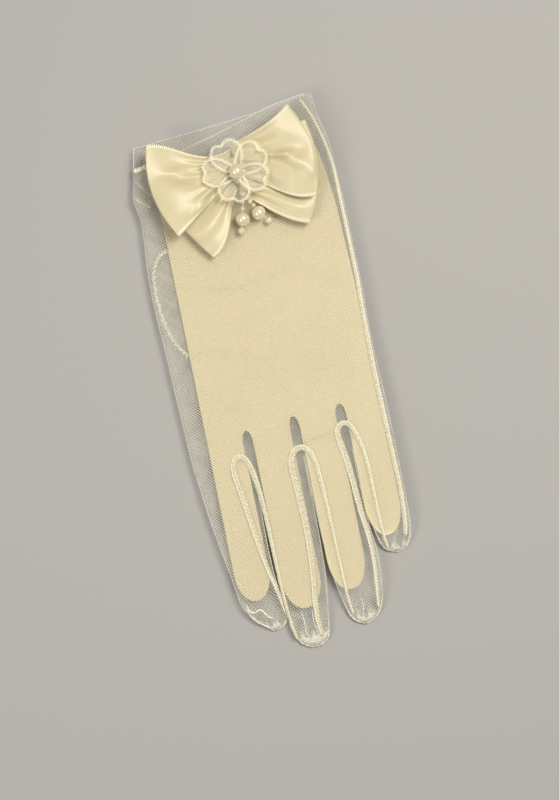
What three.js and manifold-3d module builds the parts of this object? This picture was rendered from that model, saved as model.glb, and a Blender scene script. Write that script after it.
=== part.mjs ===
// A child's white communion glove of sheer net, lying palm down on its folded thumb,
// with a hand-shaped card inside and a satin bow, a lace flower and two bead drops on the cuff.
// X runs across the palm to the little finger, Y from the fingertips to the cuff, Z up.
import * as THREE from 'three';
import Module from 'manifold-3d';

const wasm = await Module();
wasm.setup();

// Sizes in millimetres
const gloveLength = 222;
const gloveWidth = 86;
const cloth = 1;
const gap = 0.3;
const slack = 0.5;
const cardThickness = 0.8;
const thumbHeight = 3.1;
const netRise = 4;
const tipHeight = 3.4;
const trim = 0.1;
const seamWidth = 1.1;
const ribbonWidth = 38;
const loopOpening = 4.2;
const flowerRadius = 13.2;
const pearlSize = 6;
const beadSize = 3.2;

// Levels above the table
const palmBottom = thumbHeight + gap;
const cardBottom = palmBottom + cloth + slack;
const cardMiddle = cardBottom + cardThickness / 2;
const palmTop = cardMiddle + cardThickness / 2 + slack + cloth;

// Palm and cuff, from the cuff's edge to the crotches of the fingers
// along: share of gloveLength; left, right: shares of gloveWidth;
// slant: rise of the row across the glove
// rise: top above the palm, share of netRise; middle: share of cardMiddle;
// drop: 0 over the thumb, 1 on the table
const palmColumns = ['along', 'left', 'right', 'slant', 'rise', 'middle', 'drop', 'squareness'];
const palmRows = [
  [0.4815, -0.4419, 0.436, 0.108, 0.25, 0.76, 1, 3],
  [0.455, -0.4488, 0.4512, 0.08, 0.28, 0.8, 1, 3],
  [0.4234, -0.4651, 0.4674, 0.05, 0.3, 0.86, 1, 3.2],
  [0.3941, -0.4802, 0.4756, 0.02, 0.3, 0.92, 1, 3.5],
  [0.3694, -0.4953, 0.4779, 0, 0.3, 0.95, 0.9, 3.5],
  [0.3423, -0.4791, 0.4826, 0, 0.27, 1, 0.6, 4],
  [0.3063, -0.4767, 0.4872, 0, 0.2, 1, 0.25, 5],
  [0.2613, -0.4872, 0.4895, 0, 0.14, 1, 0, 6],
  [0.2027, -0.4965, 0.4907, 0, 0.1, 1, 0, 6],
  [0.1486, -0.4942, 0.4953, 0, 0.08, 1, 0, 6],
  [0.0811, -0.486, 0.4895, 0, 0.05, 1, 0, 6],
  [0.0135, -0.4802, 0.486, 0, 0.03, 1, 0, 6],
  [-0.0495, -0.4756, 0.4942, 0, 0.01, 1, 0, 6],
  [-0.0991, -0.4709, 0.4965, 0, 0, 1, 0.02, 6],
  [-0.1441, -0.4651, 0.4977, 0, 0, 1, 0.06, 6],
];

// Fingers, from inside the palm to the tips, in the same shares
const fingerColumns = ['along', 'left', 'right', 'rise', 'middle', 'drop'];
const fingerRows = {
  index: [
    [-0.0856, -0.4686, -0.1878, 0, 1, 0.01],
    [-0.1441, -0.464, -0.1878, 0, 1, 0.06],
    [-0.2117, -0.4453, -0.1878, 0, 1, 0.3],
    [-0.2793, -0.4233, -0.1878, 0, 1, 0.55],
    [-0.3378, -0.4, -0.1849, 0, 1, 0.85],
    [-0.3739, -0.3884, -0.1791, -0.02, 0.98, 1],
    [-0.4009, -0.3767, -0.1767, -0.05, 0.94, 1],
    [-0.4257, -0.3419, -0.1744, -0.5, 0.65, 1],
    [-0.4437, -0.3023, -0.1791, -0.9, 0.4, 1],
    [-0.4568, -0.2663, -0.2081, -1.1, 0.25, 1],
  ],
  middle: [
    [-0.0856, -0.1831, 0.0523, 0, 1, 0.01],
    [-0.1441, -0.1831, 0.0523, 0, 1, 0.06],
    [-0.2117, -0.1831, 0.0523, 0, 1, 0.3],
    [-0.2928, -0.1831, 0.0523, 0, 1, 0.6],
    [-0.3649, -0.1802, 0.0523, 0, 1, 0.9],
    [-0.4009, -0.1733, 0.0465, 0, 1, 1],
    [-0.4324, -0.1674, 0.0349, -0.05, 0.94, 1],
    [-0.464, -0.1535, 0.0209, -0.6, 0.6, 1],
    [-0.4865, -0.1372, 0.007, -0.9, 0.4, 1],
    [-0.5, -0.0953, -0.0302, -1.1, 0.25, 1],
  ],
  ring: [
    [-0.0856, 0.057, 0.2791, 0, 1, 0.01],
    [-0.1441, 0.057, 0.2791, 0, 1, 0.06],
    [-0.2117, 0.057, 0.2791, 0, 1, 0.3],
    [-0.2568, 0.057, 0.2791, 0, 1, 0.5],
    [-0.3153, 0.0581, 0.293, 0, 1, 0.75],
    [-0.3559, 0.0605, 0.3105, 0, 1, 0.95],
    [-0.3919, 0.0721, 0.307, -0.01, 0.98, 1],
    [-0.4234, 0.093, 0.2977, -0.06, 0.92, 1],
    [-0.455, 0.1244, 0.2744, -0.8, 0.5, 1],
    [-0.4775, 0.1698, 0.2221, -1.1, 0.25, 1],
  ],
  little: [
    [-0.0856, 0.2837, 0.4965, 0, 1, 0.01],
    [-0.1441, 0.2837, 0.4977, 0, 1, 0.06],
    [-0.1937, 0.2837, 0.4977, 0, 1, 0.3],
    [-0.2477, 0.2849, 0.4988, 0, 1, 0.6],
    [-0.2838, 0.2895, 0.4977, 0, 1, 0.85],
    [-0.3063, 0.2988, 0.4953, -0.01, 0.98, 1],
    [-0.3266, 0.3174, 0.4884, -0.06, 0.94, 1],
    [-0.3446, 0.3442, 0.4721, -0.6, 0.6, 1],
    [-0.3581, 0.3791, 0.4395, -1.1, 0.25, 1],
  ],
};
const fingerSquareness = 4;

// The thumb lies folded flat under the palm; turn: degrees its width is turned from the glove's length
const thumbColumns = ['across', 'along', 'half', 'turn'];
const thumbRows = [
  [-0.4953, 0.1622, 0.0581, 0],
  [-0.4674, 0.1622, 0.1744, 0],
  [-0.4116, 0.1622, 0.2558, 0],
  [-0.3302, 0.1622, 0.2965, 0],
  [-0.2372, 0.1577, 0.2791, 8],
  [-0.1442, 0.1441, 0.2209, 18],
  [-0.0512, 0.1261, 0.1686, 26],
  [0.0651, 0.1014, 0.1337, 29],
  [0.1814, 0.0766, 0.1163, 29],
  [0.2628, 0.0595, 0.093, 29],
  [0.3093, 0.0495, 0.0523, 29],
];
const thumbSquareness = 5;
const thumbHole = { across: -0.3302, along: 0.1622, halfWidth: 0.1465, halfLength: 0.2698 };
const thumbHoleSides = 28;

// The card's fingers: edges, where the round tip starts and ends, and the slot that follows
const cardColumns = ['left', 'right', 'shoulder', 'tip', 'slot'];
const cardRows = [
  [-0.3744, -0.2081, -0.3333, -0.3941, -0.0869],
  [-0.1581, 0.0209, -0.3649, -0.4257, -0.0779],
  [0.0779, 0.2477, -0.3423, -0.4081, -0.0721],
  [0.3105, 0.4605, -0.2568, -0.3207, -0.0721],
];
const cardSide = [
  [0.1486, 0.4605],
  [0.2838, 0.4488],
  [0.3514, 0.4314],
  [0.4009, 0.4081],
];

// Corded seams on the back of the glove: [along, across] in shares of gloveLength and gloveWidth
const seamPaths = {
  index_middle_seam: [
    [-0.3739, -0.1977], [-0.3198, -0.2198], [-0.2477, -0.2488], [-0.1892, -0.2733],
    [-0.1577, -0.2826], [-0.1374, -0.2721], [-0.1284, -0.2407], [-0.1374, -0.2058],
    [-0.1577, -0.1884], [-0.1982, -0.1721], [-0.2658, -0.1686], [-0.3468, -0.1674],
    [-0.4009, -0.1628], [-0.455, -0.1472],
  ],
  middle_ring_seam: [
    [-0.4685, -0.0314], [-0.4144, -0.0279], [-0.3378, -0.007], [-0.2658, -0.0023],
    [-0.2117, -0.007], [-0.1667, -0.0128], [-0.1441, 0.007], [-0.1347, 0.0488],
    [-0.1441, 0.0884], [-0.1667, 0.1128], [-0.2117, 0.1198], [-0.2748, 0.1244],
    [-0.3559, 0.1279], [-0.4279, 0.1326],
  ],
  ring_little_seam: [
    [-0.4234, 0.2698], [-0.3829, 0.2826], [-0.3378, 0.2849], [-0.2838, 0.2674],
    [-0.2207, 0.2558], [-0.1757, 0.25], [-0.1396, 0.2349], [-0.1171, 0.236],
    [-0.1059, 0.2744], [-0.1171, 0.314], [-0.1396, 0.3326], [-0.1757, 0.3477],
    [-0.2297, 0.3523], [-0.2928, 0.3523], [-0.3333, 0.3593],
  ],
  side_seam: [
    [0.4369, 0.4256], [0.4144, 0.4453], [0.3874, 0.4605], [0.3514, 0.4674], [0.2928, 0.4733],
    [0.2387, 0.4767], [0.1486, 0.4814], [0.0811, 0.4756], [0.0135, 0.4733], [-0.0541, 0.4779],
    [-0.1216, 0.4814], [-0.1892, 0.4826], [-0.2568, 0.4814], [-0.3063, 0.4698],
  ],
  hem_seam: [
    [0.4234, -0.4419], [0.4266, -0.3651], [0.4428, -0.1907], [0.4595, -0.0163],
    [0.473, 0.1], [0.4802, 0.1814],
  ],
};

// Bow loops, from the knot to the outer fold: the two selvedges from the bow's centre,
// in shares of ribbonWidth
const bowCentre = { across: 0.0105, along: 0.3829 };
const loopColumns = ['out', 'lowX', 'lowY', 'highX', 'highY'];
const loopRows = {
  left_upper: [
    [0, -0.076, -0.058, -0.076, 0.084],
    [0.33, -0.303, -0.276, -0.337, 0.224],
    [0.66, -0.521, -0.447, -0.613, 0.368],
    [1, -0.718, -0.579, -0.876, 0.466],
  ],
  left_lower: [
    [0, -0.076, -0.074, -0.076, 0.026],
    [0.33, -0.139, -0.421, -0.337, 0.026],
    [0.66, -0.218, -0.671, -0.613, 0],
    [1, -0.403, -0.868, -0.876, -0.039],
  ],
  right_upper: [
    [0, 0.076, -0.058, 0.076, 0.084],
    [0.33, 0.295, -0.224, 0.282, 0.329],
    [0.66, 0.518, -0.382, 0.479, 0.434],
    [1, 0.782, -0.439, 0.676, 0.566],
  ],
  right_lower: [
    [0, 0.076, -0.074, 0.076, 0.053],
    [0.33, 0.216, -0.395, 0.308, 0.211],
    [0.66, 0.426, -0.574, 0.571, 0.316],
    [1, 0.663, -0.711, 0.834, 0.382],
  ],
};
// layer: 0 on the net, 1 on the layer below; belly: bulge of the outer fold;
// tilt: fall of the high selvedge
const loopShapes = {
  left_upper: { layer: 1, belly: 0.1, tilt: 2.6 },
  left_lower: { layer: 0, belly: 0.04, tilt: 0 },
  right_upper: { layer: 1, belly: 0.13, tilt: 0.6 },
  right_lower: { layer: 0, belly: 0.13, tilt: 0 },
};
const pleatHeight = 0.55;
const foldPower = 0.7;

// Knot: stations along it, its half width and the fall of its top, in shares of ribbonWidth
const knotColumns = ['along', 'half', 'fall'];
const knotRows = [
  [-0.154, 0.0465, 0.0116],
  [-0.084, 0.0481, 0.0063],
  [0, 0.05, 0],
  [0.084, 0.0481, 0.0063],
  [0.154, 0.0465, 0.0116],
];

// Petals of the lace flower: angle from X in degrees, length and half width in shares of flowerRadius
const flowerCentre = { across: 0.0163, along: 0.3771 };
const petalColumns = ['angle', 'length', 'half'];
const petalRows = [
  [34.5, 1.02, 0.44],
  [109, 0.98, 0.46],
  [171, 1.02, 0.4],
  [251, 0.88, 0.44],
  [334, 0.93, 0.38],
];
// A petal's outline and height: how round its end is, the notch in it, its root, its rise and ripple
const petalShape = { round: 0.3, notch: 0.1, notchWidth: 0.28, root: 0.34, rise: 0.27, ripple: 0.035 };
// The flower's low centre: stations along it, its half width and its length
const disc = { stations: [-1, -0.7, 0, 0.7, 1], half: 0.26, length: 0.24, height: 1.2 };

// Pearls of the two drops, from the bow's centre in shares of pearlSize, and the way each lower bead hangs
const dropOrigin = { across: 0.2, along: -1.83 };
const drops = {
  left_drop: { across: -0.34, along: -1.5, turn: -105 },
  right_drop: { across: 0.8, along: -1.3, turn: -48 },
};

const satin = { color: 0xe6dcb4, roughness: 0.35 };
const net = { color: 0xd9cfae, roughness: 0.8 };
const cord = { color: 0xeee6c8, roughness: 0.7 };
const card = { color: 0xddd0a7, roughness: 0.85 };
const lace = { color: 0xe9e2c6, roughness: 0.7 };
const pearl = { color: 0xf0ead6, roughness: 0.2 };

const group = new THREE.Group();

function table(columns, rows) {
  return rows.map((row) => Object.fromEntries(columns.map((column, i) => [column, row[i]])));
}

function mix(a, b, t) {
  return a + (b - a) * t;
}

function smooth(t) {
  const s = Math.min(1, Math.max(0, t));
  return s * s * (3 - 2 * s);
}

function solid(points, triangles) {
  let volume = 0;
  const v = points.map((p) => new THREE.Vector3(...p));
  for (const [a, b, c] of triangles) {
    volume += v[a].dot(new THREE.Vector3().crossVectors(v[b], v[c]));
  }
  const outward = volume > 0 ? triangles : triangles.map(([a, b, c]) => [a, c, b]);
  return new wasm.Manifold(new wasm.Mesh({
    numProp: 3,
    vertProperties: new Float32Array(points.flat()),
    triVerts: new Uint32Array(outward.flat()),
  }));
}

// A body through closed rings of equally many points, its ends closed by fans
function loft(rings) {
  const count = rings[0].length;
  const points = rings.flat();
  const triangles = [];
  for (let i = 0; i + 1 < rings.length; i += 1) {
    for (let j = 0; j < count; j += 1) {
      const k = (j + 1) % count;
      const a = i * count + j;
      const b = i * count + k;
      const c = (i + 1) * count + k;
      const d = (i + 1) * count + j;
      triangles.push([a, b, c], [a, c, d]);
    }
  }
  for (const [ring, first] of [[rings[0], 0], [rings.at(-1), (rings.length - 1) * count]]) {
    const centre = [0, 1, 2].map((axis) => ring.reduce((sum, p) => sum + p[axis], 0) / count);
    points.push(centre);
    for (let j = 0; j < count; j += 1) {
      const side = [first + j, first + ((j + 1) % count)];
      triangles.push(first === 0 ? [points.length - 1, side[1], side[0]] : [points.length - 1, ...side]);
    }
  }
  return solid(points, triangles);
}

// Height of a flattened tube's wall at a share s of its half width
function roundness(s, squareness) {
  return Math.max(0, 1 - Math.abs(s) ** squareness) ** (1 / squareness);
}

// One ring of a flattened tube: across is the unit of its width, inset thins it by the cloth
function section(station, half, sides, inset) {
  const { x, y, across, top, middle, bottom, squareness } = station;
  const ring = [];
  for (let i = 0; i < 2 * sides; i += 1) {
    const phi = -Math.PI / 2 + (i * Math.PI) / sides;
    const s = Math.abs(Math.sin(phi)) > 0.9999 ? Math.sign(Math.sin(phi)) : Math.sin(phi);
    const up = i <= sides;
    const height = up ? top - inset - middle : bottom + inset - middle;
    const width = s * Math.max(0.3, half - inset);
    const z = middle + height * roundness(s, squareness);
    ring.push([x + across[0] * width, y + across[1] * width, z]);
  }
  return ring;
}

function palmStations() {
  return table(palmColumns, palmRows).map((row) => {
    const x = ((row.left + row.right) / 2) * gloveWidth;
    return {
      x,
      y: row.along * gloveLength + row.slant * x,
      half: ((row.right - row.left) / 2) * gloveWidth,
      across: [1, row.slant],
      ...levels(row),
      squareness: row.squareness,
    };
  });
}

function levels(row) {
  return {
    top: palmTop + row.rise * (row.rise < 0 ? palmTop - tipHeight : netRise),
    middle: row.middle * cardMiddle,
    bottom: mix(palmBottom, -trim, row.drop),
  };
}

function fingerStations(rows) {
  return table(fingerColumns, rows).map((row) => ({
    x: ((row.left + row.right) / 2) * gloveWidth,
    y: row.along * gloveLength,
    half: ((row.right - row.left) / 2) * gloveWidth,
    across: [1, 0],
    ...levels(row),
    squareness: fingerSquareness,
  }));
}

function thumbStations() {
  return table(thumbColumns, thumbRows).map((row) => {
    const turn = (row.turn * Math.PI) / 180;
    return {
      x: row.across * gloveWidth,
      y: row.along * gloveLength,
      half: row.half * gloveWidth,
      across: [Math.sin(turn), Math.cos(turn)],
      top: thumbHeight,
      middle: thumbHeight / 2,
      bottom: -trim,
      squareness: thumbSquareness,
    };
  });
}

// The hollow of a tube: each ring is moved along the tube and drawn in by the cloth
function tube(stations, sides, inset = 0, shifts = null) {
  return loft(stations.map((station, i) => {
    const shift = shifts ? shifts(i) : [0, 0];
    const moved = { ...station, x: station.x + shift[0], y: station.y + shift[1] };
    return section(moved, station.half, sides, inset);
  }));
}

function union(solids) {
  return solids.reduce((a, b) => a.add(b));
}

const palm = palmStations();
const fingers = Object.values(fingerRows).map(fingerStations);
const palmSides = 12;
const fingerSides = 8;

// Height of the glove's back over a point, the highest of the palm and the fingers there
function backHeight(x, y) {
  let height = 0;
  for (const stations of [palm, ...fingers]) {
    for (let i = 0; i + 1 < stations.length; i += 1) {
      const [a, b] = [stations[i], stations[i + 1]];
      const ya = a.y + a.across[1] * (x - a.x);
      const yb = b.y + b.across[1] * (x - b.x);
      const t = (y - ya) / (yb - ya);
      if (t >= 0 && t <= 1) {
        const s = (x - mix(a.x, b.x, t)) / mix(a.half, b.half, t);
        const squareness = mix(a.squareness, b.squareness, t);
        const middle = mix(a.middle, b.middle, t);
        const top = mix(a.top, b.top, t);
        if (Math.abs(s) < 1) {
          height = Math.max(height, middle + (top - middle) * roundness(s, squareness));
        }
      }
    }
  }
  return height;
}

// Height at which something round of this radius lies on the back with its gap
function restingHeight(x, y, radius) {
  let height = backHeight(x, y);
  for (let k = 0; k < 8; k += 1) {
    const angle = (k * Math.PI) / 4;
    const beside = backHeight(x + 2 * radius * Math.cos(angle), y + 2 * radius * Math.sin(angle));
    height = Math.max(height, beside);
  }
  return height + gap + radius;
}

// The rim of the thumb's opening, drawn in by the inset
function thumbHoleRing(inset, z) {
  return Array.from({ length: thumbHoleSides }, (_, i) => {
    const t = (i / thumbHoleSides) * 2 * Math.PI;
    return [
      thumbHole.across * gloveWidth + (thumbHole.halfWidth * gloveWidth - inset) * Math.cos(t),
      thumbHole.along * gloveLength + (thumbHole.halfLength * gloveWidth - inset) * Math.sin(t),
      z,
    ];
  });
}

function thumbHolePrism(low, high) {
  return loft([thumbHoleRing(0, low), thumbHoleRing(0, high)]);
}

// Glove net: one hollow skin, open at the wrist and at the thumb
const palmLast = palm.length - 1;
const skinOutside = union([
  tube(palm, palmSides),
  ...fingers.map((stations) => tube(stations, fingerSides)),
]).trimByPlane([0, 0, 1], 0);
const skinInside = union([
  tube(palm, palmSides, cloth, (i) => [0, i === 0 ? 2 * cloth : i === palmLast ? cloth : 0]),
  ...fingers.map((stations) => tube(stations, fingerSides, cloth, () => [0, cloth])),
]);
const palmMiddle = cardBottom - slack / 2;
const gloveNet = skinOutside.subtract(skinInside).subtract(thumbHolePrism(0, palmMiddle));
addSolid('glove_net', gloveNet, net);

// Thumb: a flat tube under the palm, open upwards where it is sewn to the palm
const thumbSides = 9;
const thumb = thumbStations();
const thumbLast = thumb.length - 1;
const thumbOutside = tube(thumb, thumbSides).trimByPlane([0, 0, 1], 0);
const thumbInside = tube(thumb, thumbSides, cloth, (i) => {
  const along = i === 0 ? cloth : i === thumbLast ? -cloth : 0;
  const { across } = thumb[i];
  return [along * across[1], -along * across[0]];
});
const thumbNet = thumbOutside.subtract(thumbInside).subtract(thumbHolePrism(thumbHeight / 2, palmMiddle));
addSolid('thumb_net', thumbNet, net);

// Seams are cords of a few sides along a smooth path
function cordAlong(path, radii, closed = false) {
  const sides = 5;
  const rings = path.map((point, i) => {
    const before = path[closed ? (i + path.length - 1) % path.length : Math.max(0, i - 1)];
    const after = path[closed ? (i + 1) % path.length : Math.min(path.length - 1, i + 1)];
    const tangent = new THREE.Vector3().subVectors(after, before).normalize();
    const side = new THREE.Vector3().crossVectors(tangent, new THREE.Vector3(0, 0, 1)).normalize();
    const up = new THREE.Vector3().crossVectors(side, tangent);
    return Array.from({ length: sides }, (_, k) => {
      const angle = (k / sides) * 2 * Math.PI;
      const offset = side.clone().multiplyScalar(Math.cos(angle) * radii[i]);
      offset.addScaledVector(up, Math.sin(angle) * radii[i]);
      return point.clone().add(offset).toArray();
    });
  });
  if (!closed) {
    return loft(rings);
  }
  const half = Math.floor(rings.length / 2);
  return loft(rings.slice(0, half + 1)).add(loft([...rings.slice(half), rings[0]]));
}

// The hem is thickest at the cuff's left corner, in shares of seamWidth
const hemThickness = { corner: 1.7, edge: 0.8 };

for (const [name, path] of Object.entries(seamPaths)) {
  const flat = path.map(([along, across]) => new THREE.Vector3(across * gloveWidth, along * gloveLength, 0));
  const steps = path.length * 2;
  const points = new THREE.CatmullRomCurve3(flat, false, 'centripetal').getPoints(steps);
  const radii = points.map((_, i) => {
    const hem = mix(hemThickness.corner, hemThickness.edge, smooth(2 * i / steps));
    return ((name === 'hem_seam' ? hem : 1) * seamWidth) / 2;
  });
  points.forEach((point, i) => {
    point.z = restingHeight(point.x, point.y, radii[i]);
  });
  addSolid(name, cordAlong(points, radii), cord);
}

// Thumb seam: an oval cord inside the thumb's opening
const thumbSeamRadius = seamWidth / 2;
const thumbSeamInset = thumbSeamRadius + gap;
const thumbSeamPath = thumbHoleRing(thumbSeamInset, palmBottom).map((p) => new THREE.Vector3(...p));
addSolid('thumb_seam', cordAlong(thumbSeamPath, thumbSeamPath.map(() => thumbSeamRadius), true), cord);

// Hand card: a flat outline with round fingertips and narrow slots
function cardShape() {
  const rows = table(cardColumns, cardRows);
  const outline = [[rows[0].left, cardSide.at(-1)[0]]];
  const tipSteps = 10;
  const slotSteps = 4;
  rows.forEach((row, i) => {
    const centre = (row.left + row.right) / 2;
    const half = (row.right - row.left) / 2;
    for (let k = 0; k <= tipSteps; k += 1) {
      const s = -Math.cos((k / tipSteps) * Math.PI);
      outline.push([centre + half * s, mix(row.shoulder, row.tip, roundness(s, 2.2))]);
    }
    const next = rows[i + 1];
    if (next) {
      const slotHalf = (next.left - row.right) / 2;
      const round = (slotHalf * gloveWidth) / gloveLength;
      for (let k = 0; k <= slotSteps; k += 1) {
        const t = (k / slotSteps) * Math.PI;
        outline.push([
          row.right + slotHalf * (1 - Math.cos(t)),
          row.slot - round + round * Math.sin(t),
        ]);
      }
    }
  });
  for (const [along, across] of cardSide) {
    outline.push([across, along]);
  }
  return new THREE.Shape(outline.map(([across, along]) => (
    new THREE.Vector2(across * gloveWidth, along * gloveLength))));
}

const cardGeometry = new THREE.ExtrudeGeometry(cardShape(), { depth: cardThickness, bevelEnabled: false });
addMesh('hand_card', cardGeometry, card, [0, 0, cardBottom]);

// A cloth of the given thickness either side of a grid of points, closed at its edges
function clothSolid(grid, thickness) {
  const rows = grid.length;
  const columns = grid[0].length;
  const at = (i, j) => grid[Math.min(rows - 1, Math.max(0, i))][Math.min(columns - 1, Math.max(0, j))];
  const points = [];
  for (const sign of [1, -1]) {
    for (let i = 0; i < rows; i += 1) {
      for (let j = 0; j < columns; j += 1) {
        const along = new THREE.Vector3().subVectors(at(i + 1, j), at(i - 1, j));
        const across = new THREE.Vector3().subVectors(at(i, j + 1), at(i, j - 1));
        const normal = along.cross(across).normalize();
        points.push(at(i, j).clone().addScaledVector(normal, (sign * thickness) / 2).toArray());
      }
    }
  }
  const under = rows * columns;
  const triangles = [];
  for (let i = 0; i + 1 < rows; i += 1) {
    for (let j = 0; j + 1 < columns; j += 1) {
      const a = i * columns + j;
      const b = a + columns;
      const c = b + 1;
      const d = a + 1;
      triangles.push([a, b, c], [a, c, d]);
      triangles.push([under + a, under + c, under + b], [under + a, under + d, under + c]);
    }
  }
  const last = under - 1;
  const rowSteps = Array.from({ length: rows - 1 }, (_, i) => i * columns);
  const columnSteps = Array.from({ length: columns - 1 }, (_, j) => j);
  const rim = [
    ...columnSteps,
    ...rowSteps.map((step) => columns - 1 + step),
    ...columnSteps.map((step) => last - step),
    ...rowSteps.map((step) => last - columns + 1 - step),
  ];
  rim.forEach((a, k) => {
    const b = rim[(k + 1) % rim.length];
    triangles.push([a, b, under + b], [a, under + b, under + a]);
  });
  return solid(points, triangles);
}

// Bow loops: a ribbon that runs out from the knot, folds round and comes back above itself
const bowX = bowCentre.across * gloveWidth;
const bowY = bowCentre.along * gloveLength;
const bowFloor = backHeight(bowX, bowY) + gap;
const pinch = cloth + gap;

function opening(out) {
  return mix(pinch, loopOpening, smooth((out - 0.1) * 1.3));
}

function loopGrid(name) {
  const rows = table(loopColumns, loopRows[name]);
  const shape = loopShapes[name];
  const alongSteps = 16;
  const acrossSteps = 6;
  const grid = [];
  for (let i = 0; i <= alongSteps; i += 1) {
    const angle = (i / alongSteps) * Math.PI;
    const out = i % alongSteps === 0 ? 0 : Math.sin(angle) ** foldPower;
    const height = 0.5 - 0.5 * Math.sign(Math.cos(angle)) * Math.abs(Math.cos(angle)) ** foldPower;
    const k = Math.min(rows.length - 2, Math.floor(out * (rows.length - 1)));
    const t = Math.min(1, (out - rows[k].out) / (rows[k + 1].out - rows[k].out));
    const low = [mix(rows[k].lowX, rows[k + 1].lowX, t), mix(rows[k].lowY, rows[k + 1].lowY, t)];
    const high = [mix(rows[k].highX, rows[k + 1].highX, t), mix(rows[k].highY, rows[k + 1].highY, t)];
    const width = Math.hypot(high[0] - low[0], high[1] - low[1]);
    const outward = [(high[1] - low[1]) / width, (low[0] - high[0]) / width];
    const side = Math.sign(rows.at(-1).lowX);
    const row = [];
    for (let j = 0; j <= acrossSteps; j += 1) {
      const b = (j / acrossSteps) * 2 - 1;
      const share = (b + 1) / 2;
      const belly = shape.belly * (1 - b * b) * out * out * side;
      const x = (mix(low[0], high[0], share) + outward[0] * belly) * ribbonWidth;
      const y = (mix(low[1], high[1], share) + outward[1] * belly) * ribbonWidth;
      const base = shape.layer * (pinch + opening(out * 1.2));
      const pleat = pleatHeight * height * shape.layer * Math.sin(Math.PI * out);
      const fall = shape.tilt * out * smooth(b);
      const wave = pleat * Math.cos(2.5 * Math.PI * b);
      const z = bowFloor + cloth / 2 + base + height * opening(out) + wave - fall;
      row.push(new THREE.Vector3(bowX + x, bowY + y, z));
    }
    grid.push(row);
  }
  return grid;
}

for (const name of Object.keys(loopRows)) {
  addSolid(`${name}_bow_loop`, clothSolid(loopGrid(name), cloth), satin);
}

// Knot: the plain core that the loops are sewn to, under the flower
const knotHeight = 4 * cloth + 4 * gap;
const knotSquareness = 4;
const knotStations = table(knotColumns, knotRows).map((row) => ({
  x: bowX,
  y: bowY + row.along * ribbonWidth,
  half: row.half * ribbonWidth,
  across: [1, 0],
  top: bowFloor + knotHeight - row.fall * ribbonWidth,
  middle: bowFloor + knotHeight / 2,
  bottom: bowFloor,
  squareness: knotSquareness,
}));
addSolid('bow_knot', tube(knotStations, 6), satin);

// Lace flower: five double-lobed petals round a low centre
const flowerX = flowerCentre.across * gloveWidth;
const flowerY = flowerCentre.along * gloveLength;
const flowerBase = bowFloor + knotHeight + gap + cloth / 2;

function petal({ angle, length, half }) {
  const turn = (angle * Math.PI) / 180;
  const alongSteps = 4;
  const acrossSteps = 6;
  const grid = [];
  for (let i = 0; i <= alongSteps; i += 1) {
    const t = i / alongSteps;
    const row = [];
    for (let j = 0; j <= acrossSteps; j += 1) {
      const w = (j / acrossSteps) * 2 - 1;
      const notch = petalShape.notch * Math.exp(-((w / petalShape.notchWidth) ** 2));
      const lobes = 1 - petalShape.round * w ** 4 - notch;
      const out = mix(0.1, 1, t) * length * flowerRadius * lobes;
      const aside = w * half * flowerRadius * mix(petalShape.root, 1, Math.sin((t * Math.PI) / 2));
      const ripple = petalShape.ripple * t * t * Math.cos(2 * Math.PI * w);
      const lift = flowerRadius * (petalShape.rise * t ** 1.5 + ripple);
      row.push(new THREE.Vector3(
        flowerX + out * Math.cos(turn) - aside * Math.sin(turn),
        flowerY + out * Math.sin(turn) + aside * Math.cos(turn),
        flowerBase + lift,
      ));
    }
    grid.push(row);
  }
  return clothSolid(grid, cloth);
}

const discStations = disc.stations.map((share) => ({
  x: flowerX,
  y: flowerY + share * flowerRadius * disc.length,
  half: flowerRadius * disc.half * Math.sqrt(1.12 - share * share),
  across: [1, 0],
  top: flowerBase - cloth / 2 + disc.height,
  middle: flowerBase,
  bottom: flowerBase - cloth / 2,
  squareness: knotSquareness,
}));
const petals = table(petalColumns, petalRows).map(petal);
addSolid('lace_flower', union([tube(discStations, 6), ...petals]), lace);

// Pearls and beads
const roundSides = 12;
function bead(name, size, x, y, z) {
  addMesh(name, new THREE.SphereGeometry(size / 2, roundSides, 8), pearl, [x, y, z]);
}

const centrePearlZ = flowerBase - cloth / 2 + disc.height + gap + pearlSize / 2;
bead('centre_pearl', pearlSize, flowerX, flowerY, centrePearlZ);

for (const [name, drop] of Object.entries(drops)) {
  const x = bowX + (dropOrigin.across + drop.across) * pearlSize;
  const y = bowY + (dropOrigin.along + drop.along) * pearlSize;
  const turn = (drop.turn * Math.PI) / 180;
  const reach = pearlSize / 2 + beadSize / 2 + 2 * gap;
  const beadX = x + reach * Math.cos(turn);
  const beadY = y + reach * Math.sin(turn);
  bead(`${name}_pearl`, pearlSize, x, y, restingHeight(x, y, pearlSize / 2));
  bead(`${name}_bead`, beadSize, beadX, beadY, restingHeight(beadX, beadY, beadSize / 2));
}

function addMesh(name, geometry, look, position) {
  const material = new THREE.MeshStandardMaterial({ ...look, metalness: 0 });
  const mesh = new THREE.Mesh(geometry, material);
  mesh.name = name;
  mesh.position.set(...position);
  group.add(mesh);
}

function addSolid(name, body, look) {
  const mesh = body.getMesh();
  const geometry = new THREE.BufferGeometry();
  geometry.setAttribute('position', new THREE.BufferAttribute(new Float32Array(mesh.vertProperties), 3));
  geometry.setIndex(new THREE.BufferAttribute(new Uint32Array(mesh.triVerts), 1));
  geometry.computeVertexNormals();
  addMesh(name, geometry, look, [0, 0, 0]);
}

export default group;
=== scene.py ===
import math

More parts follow.
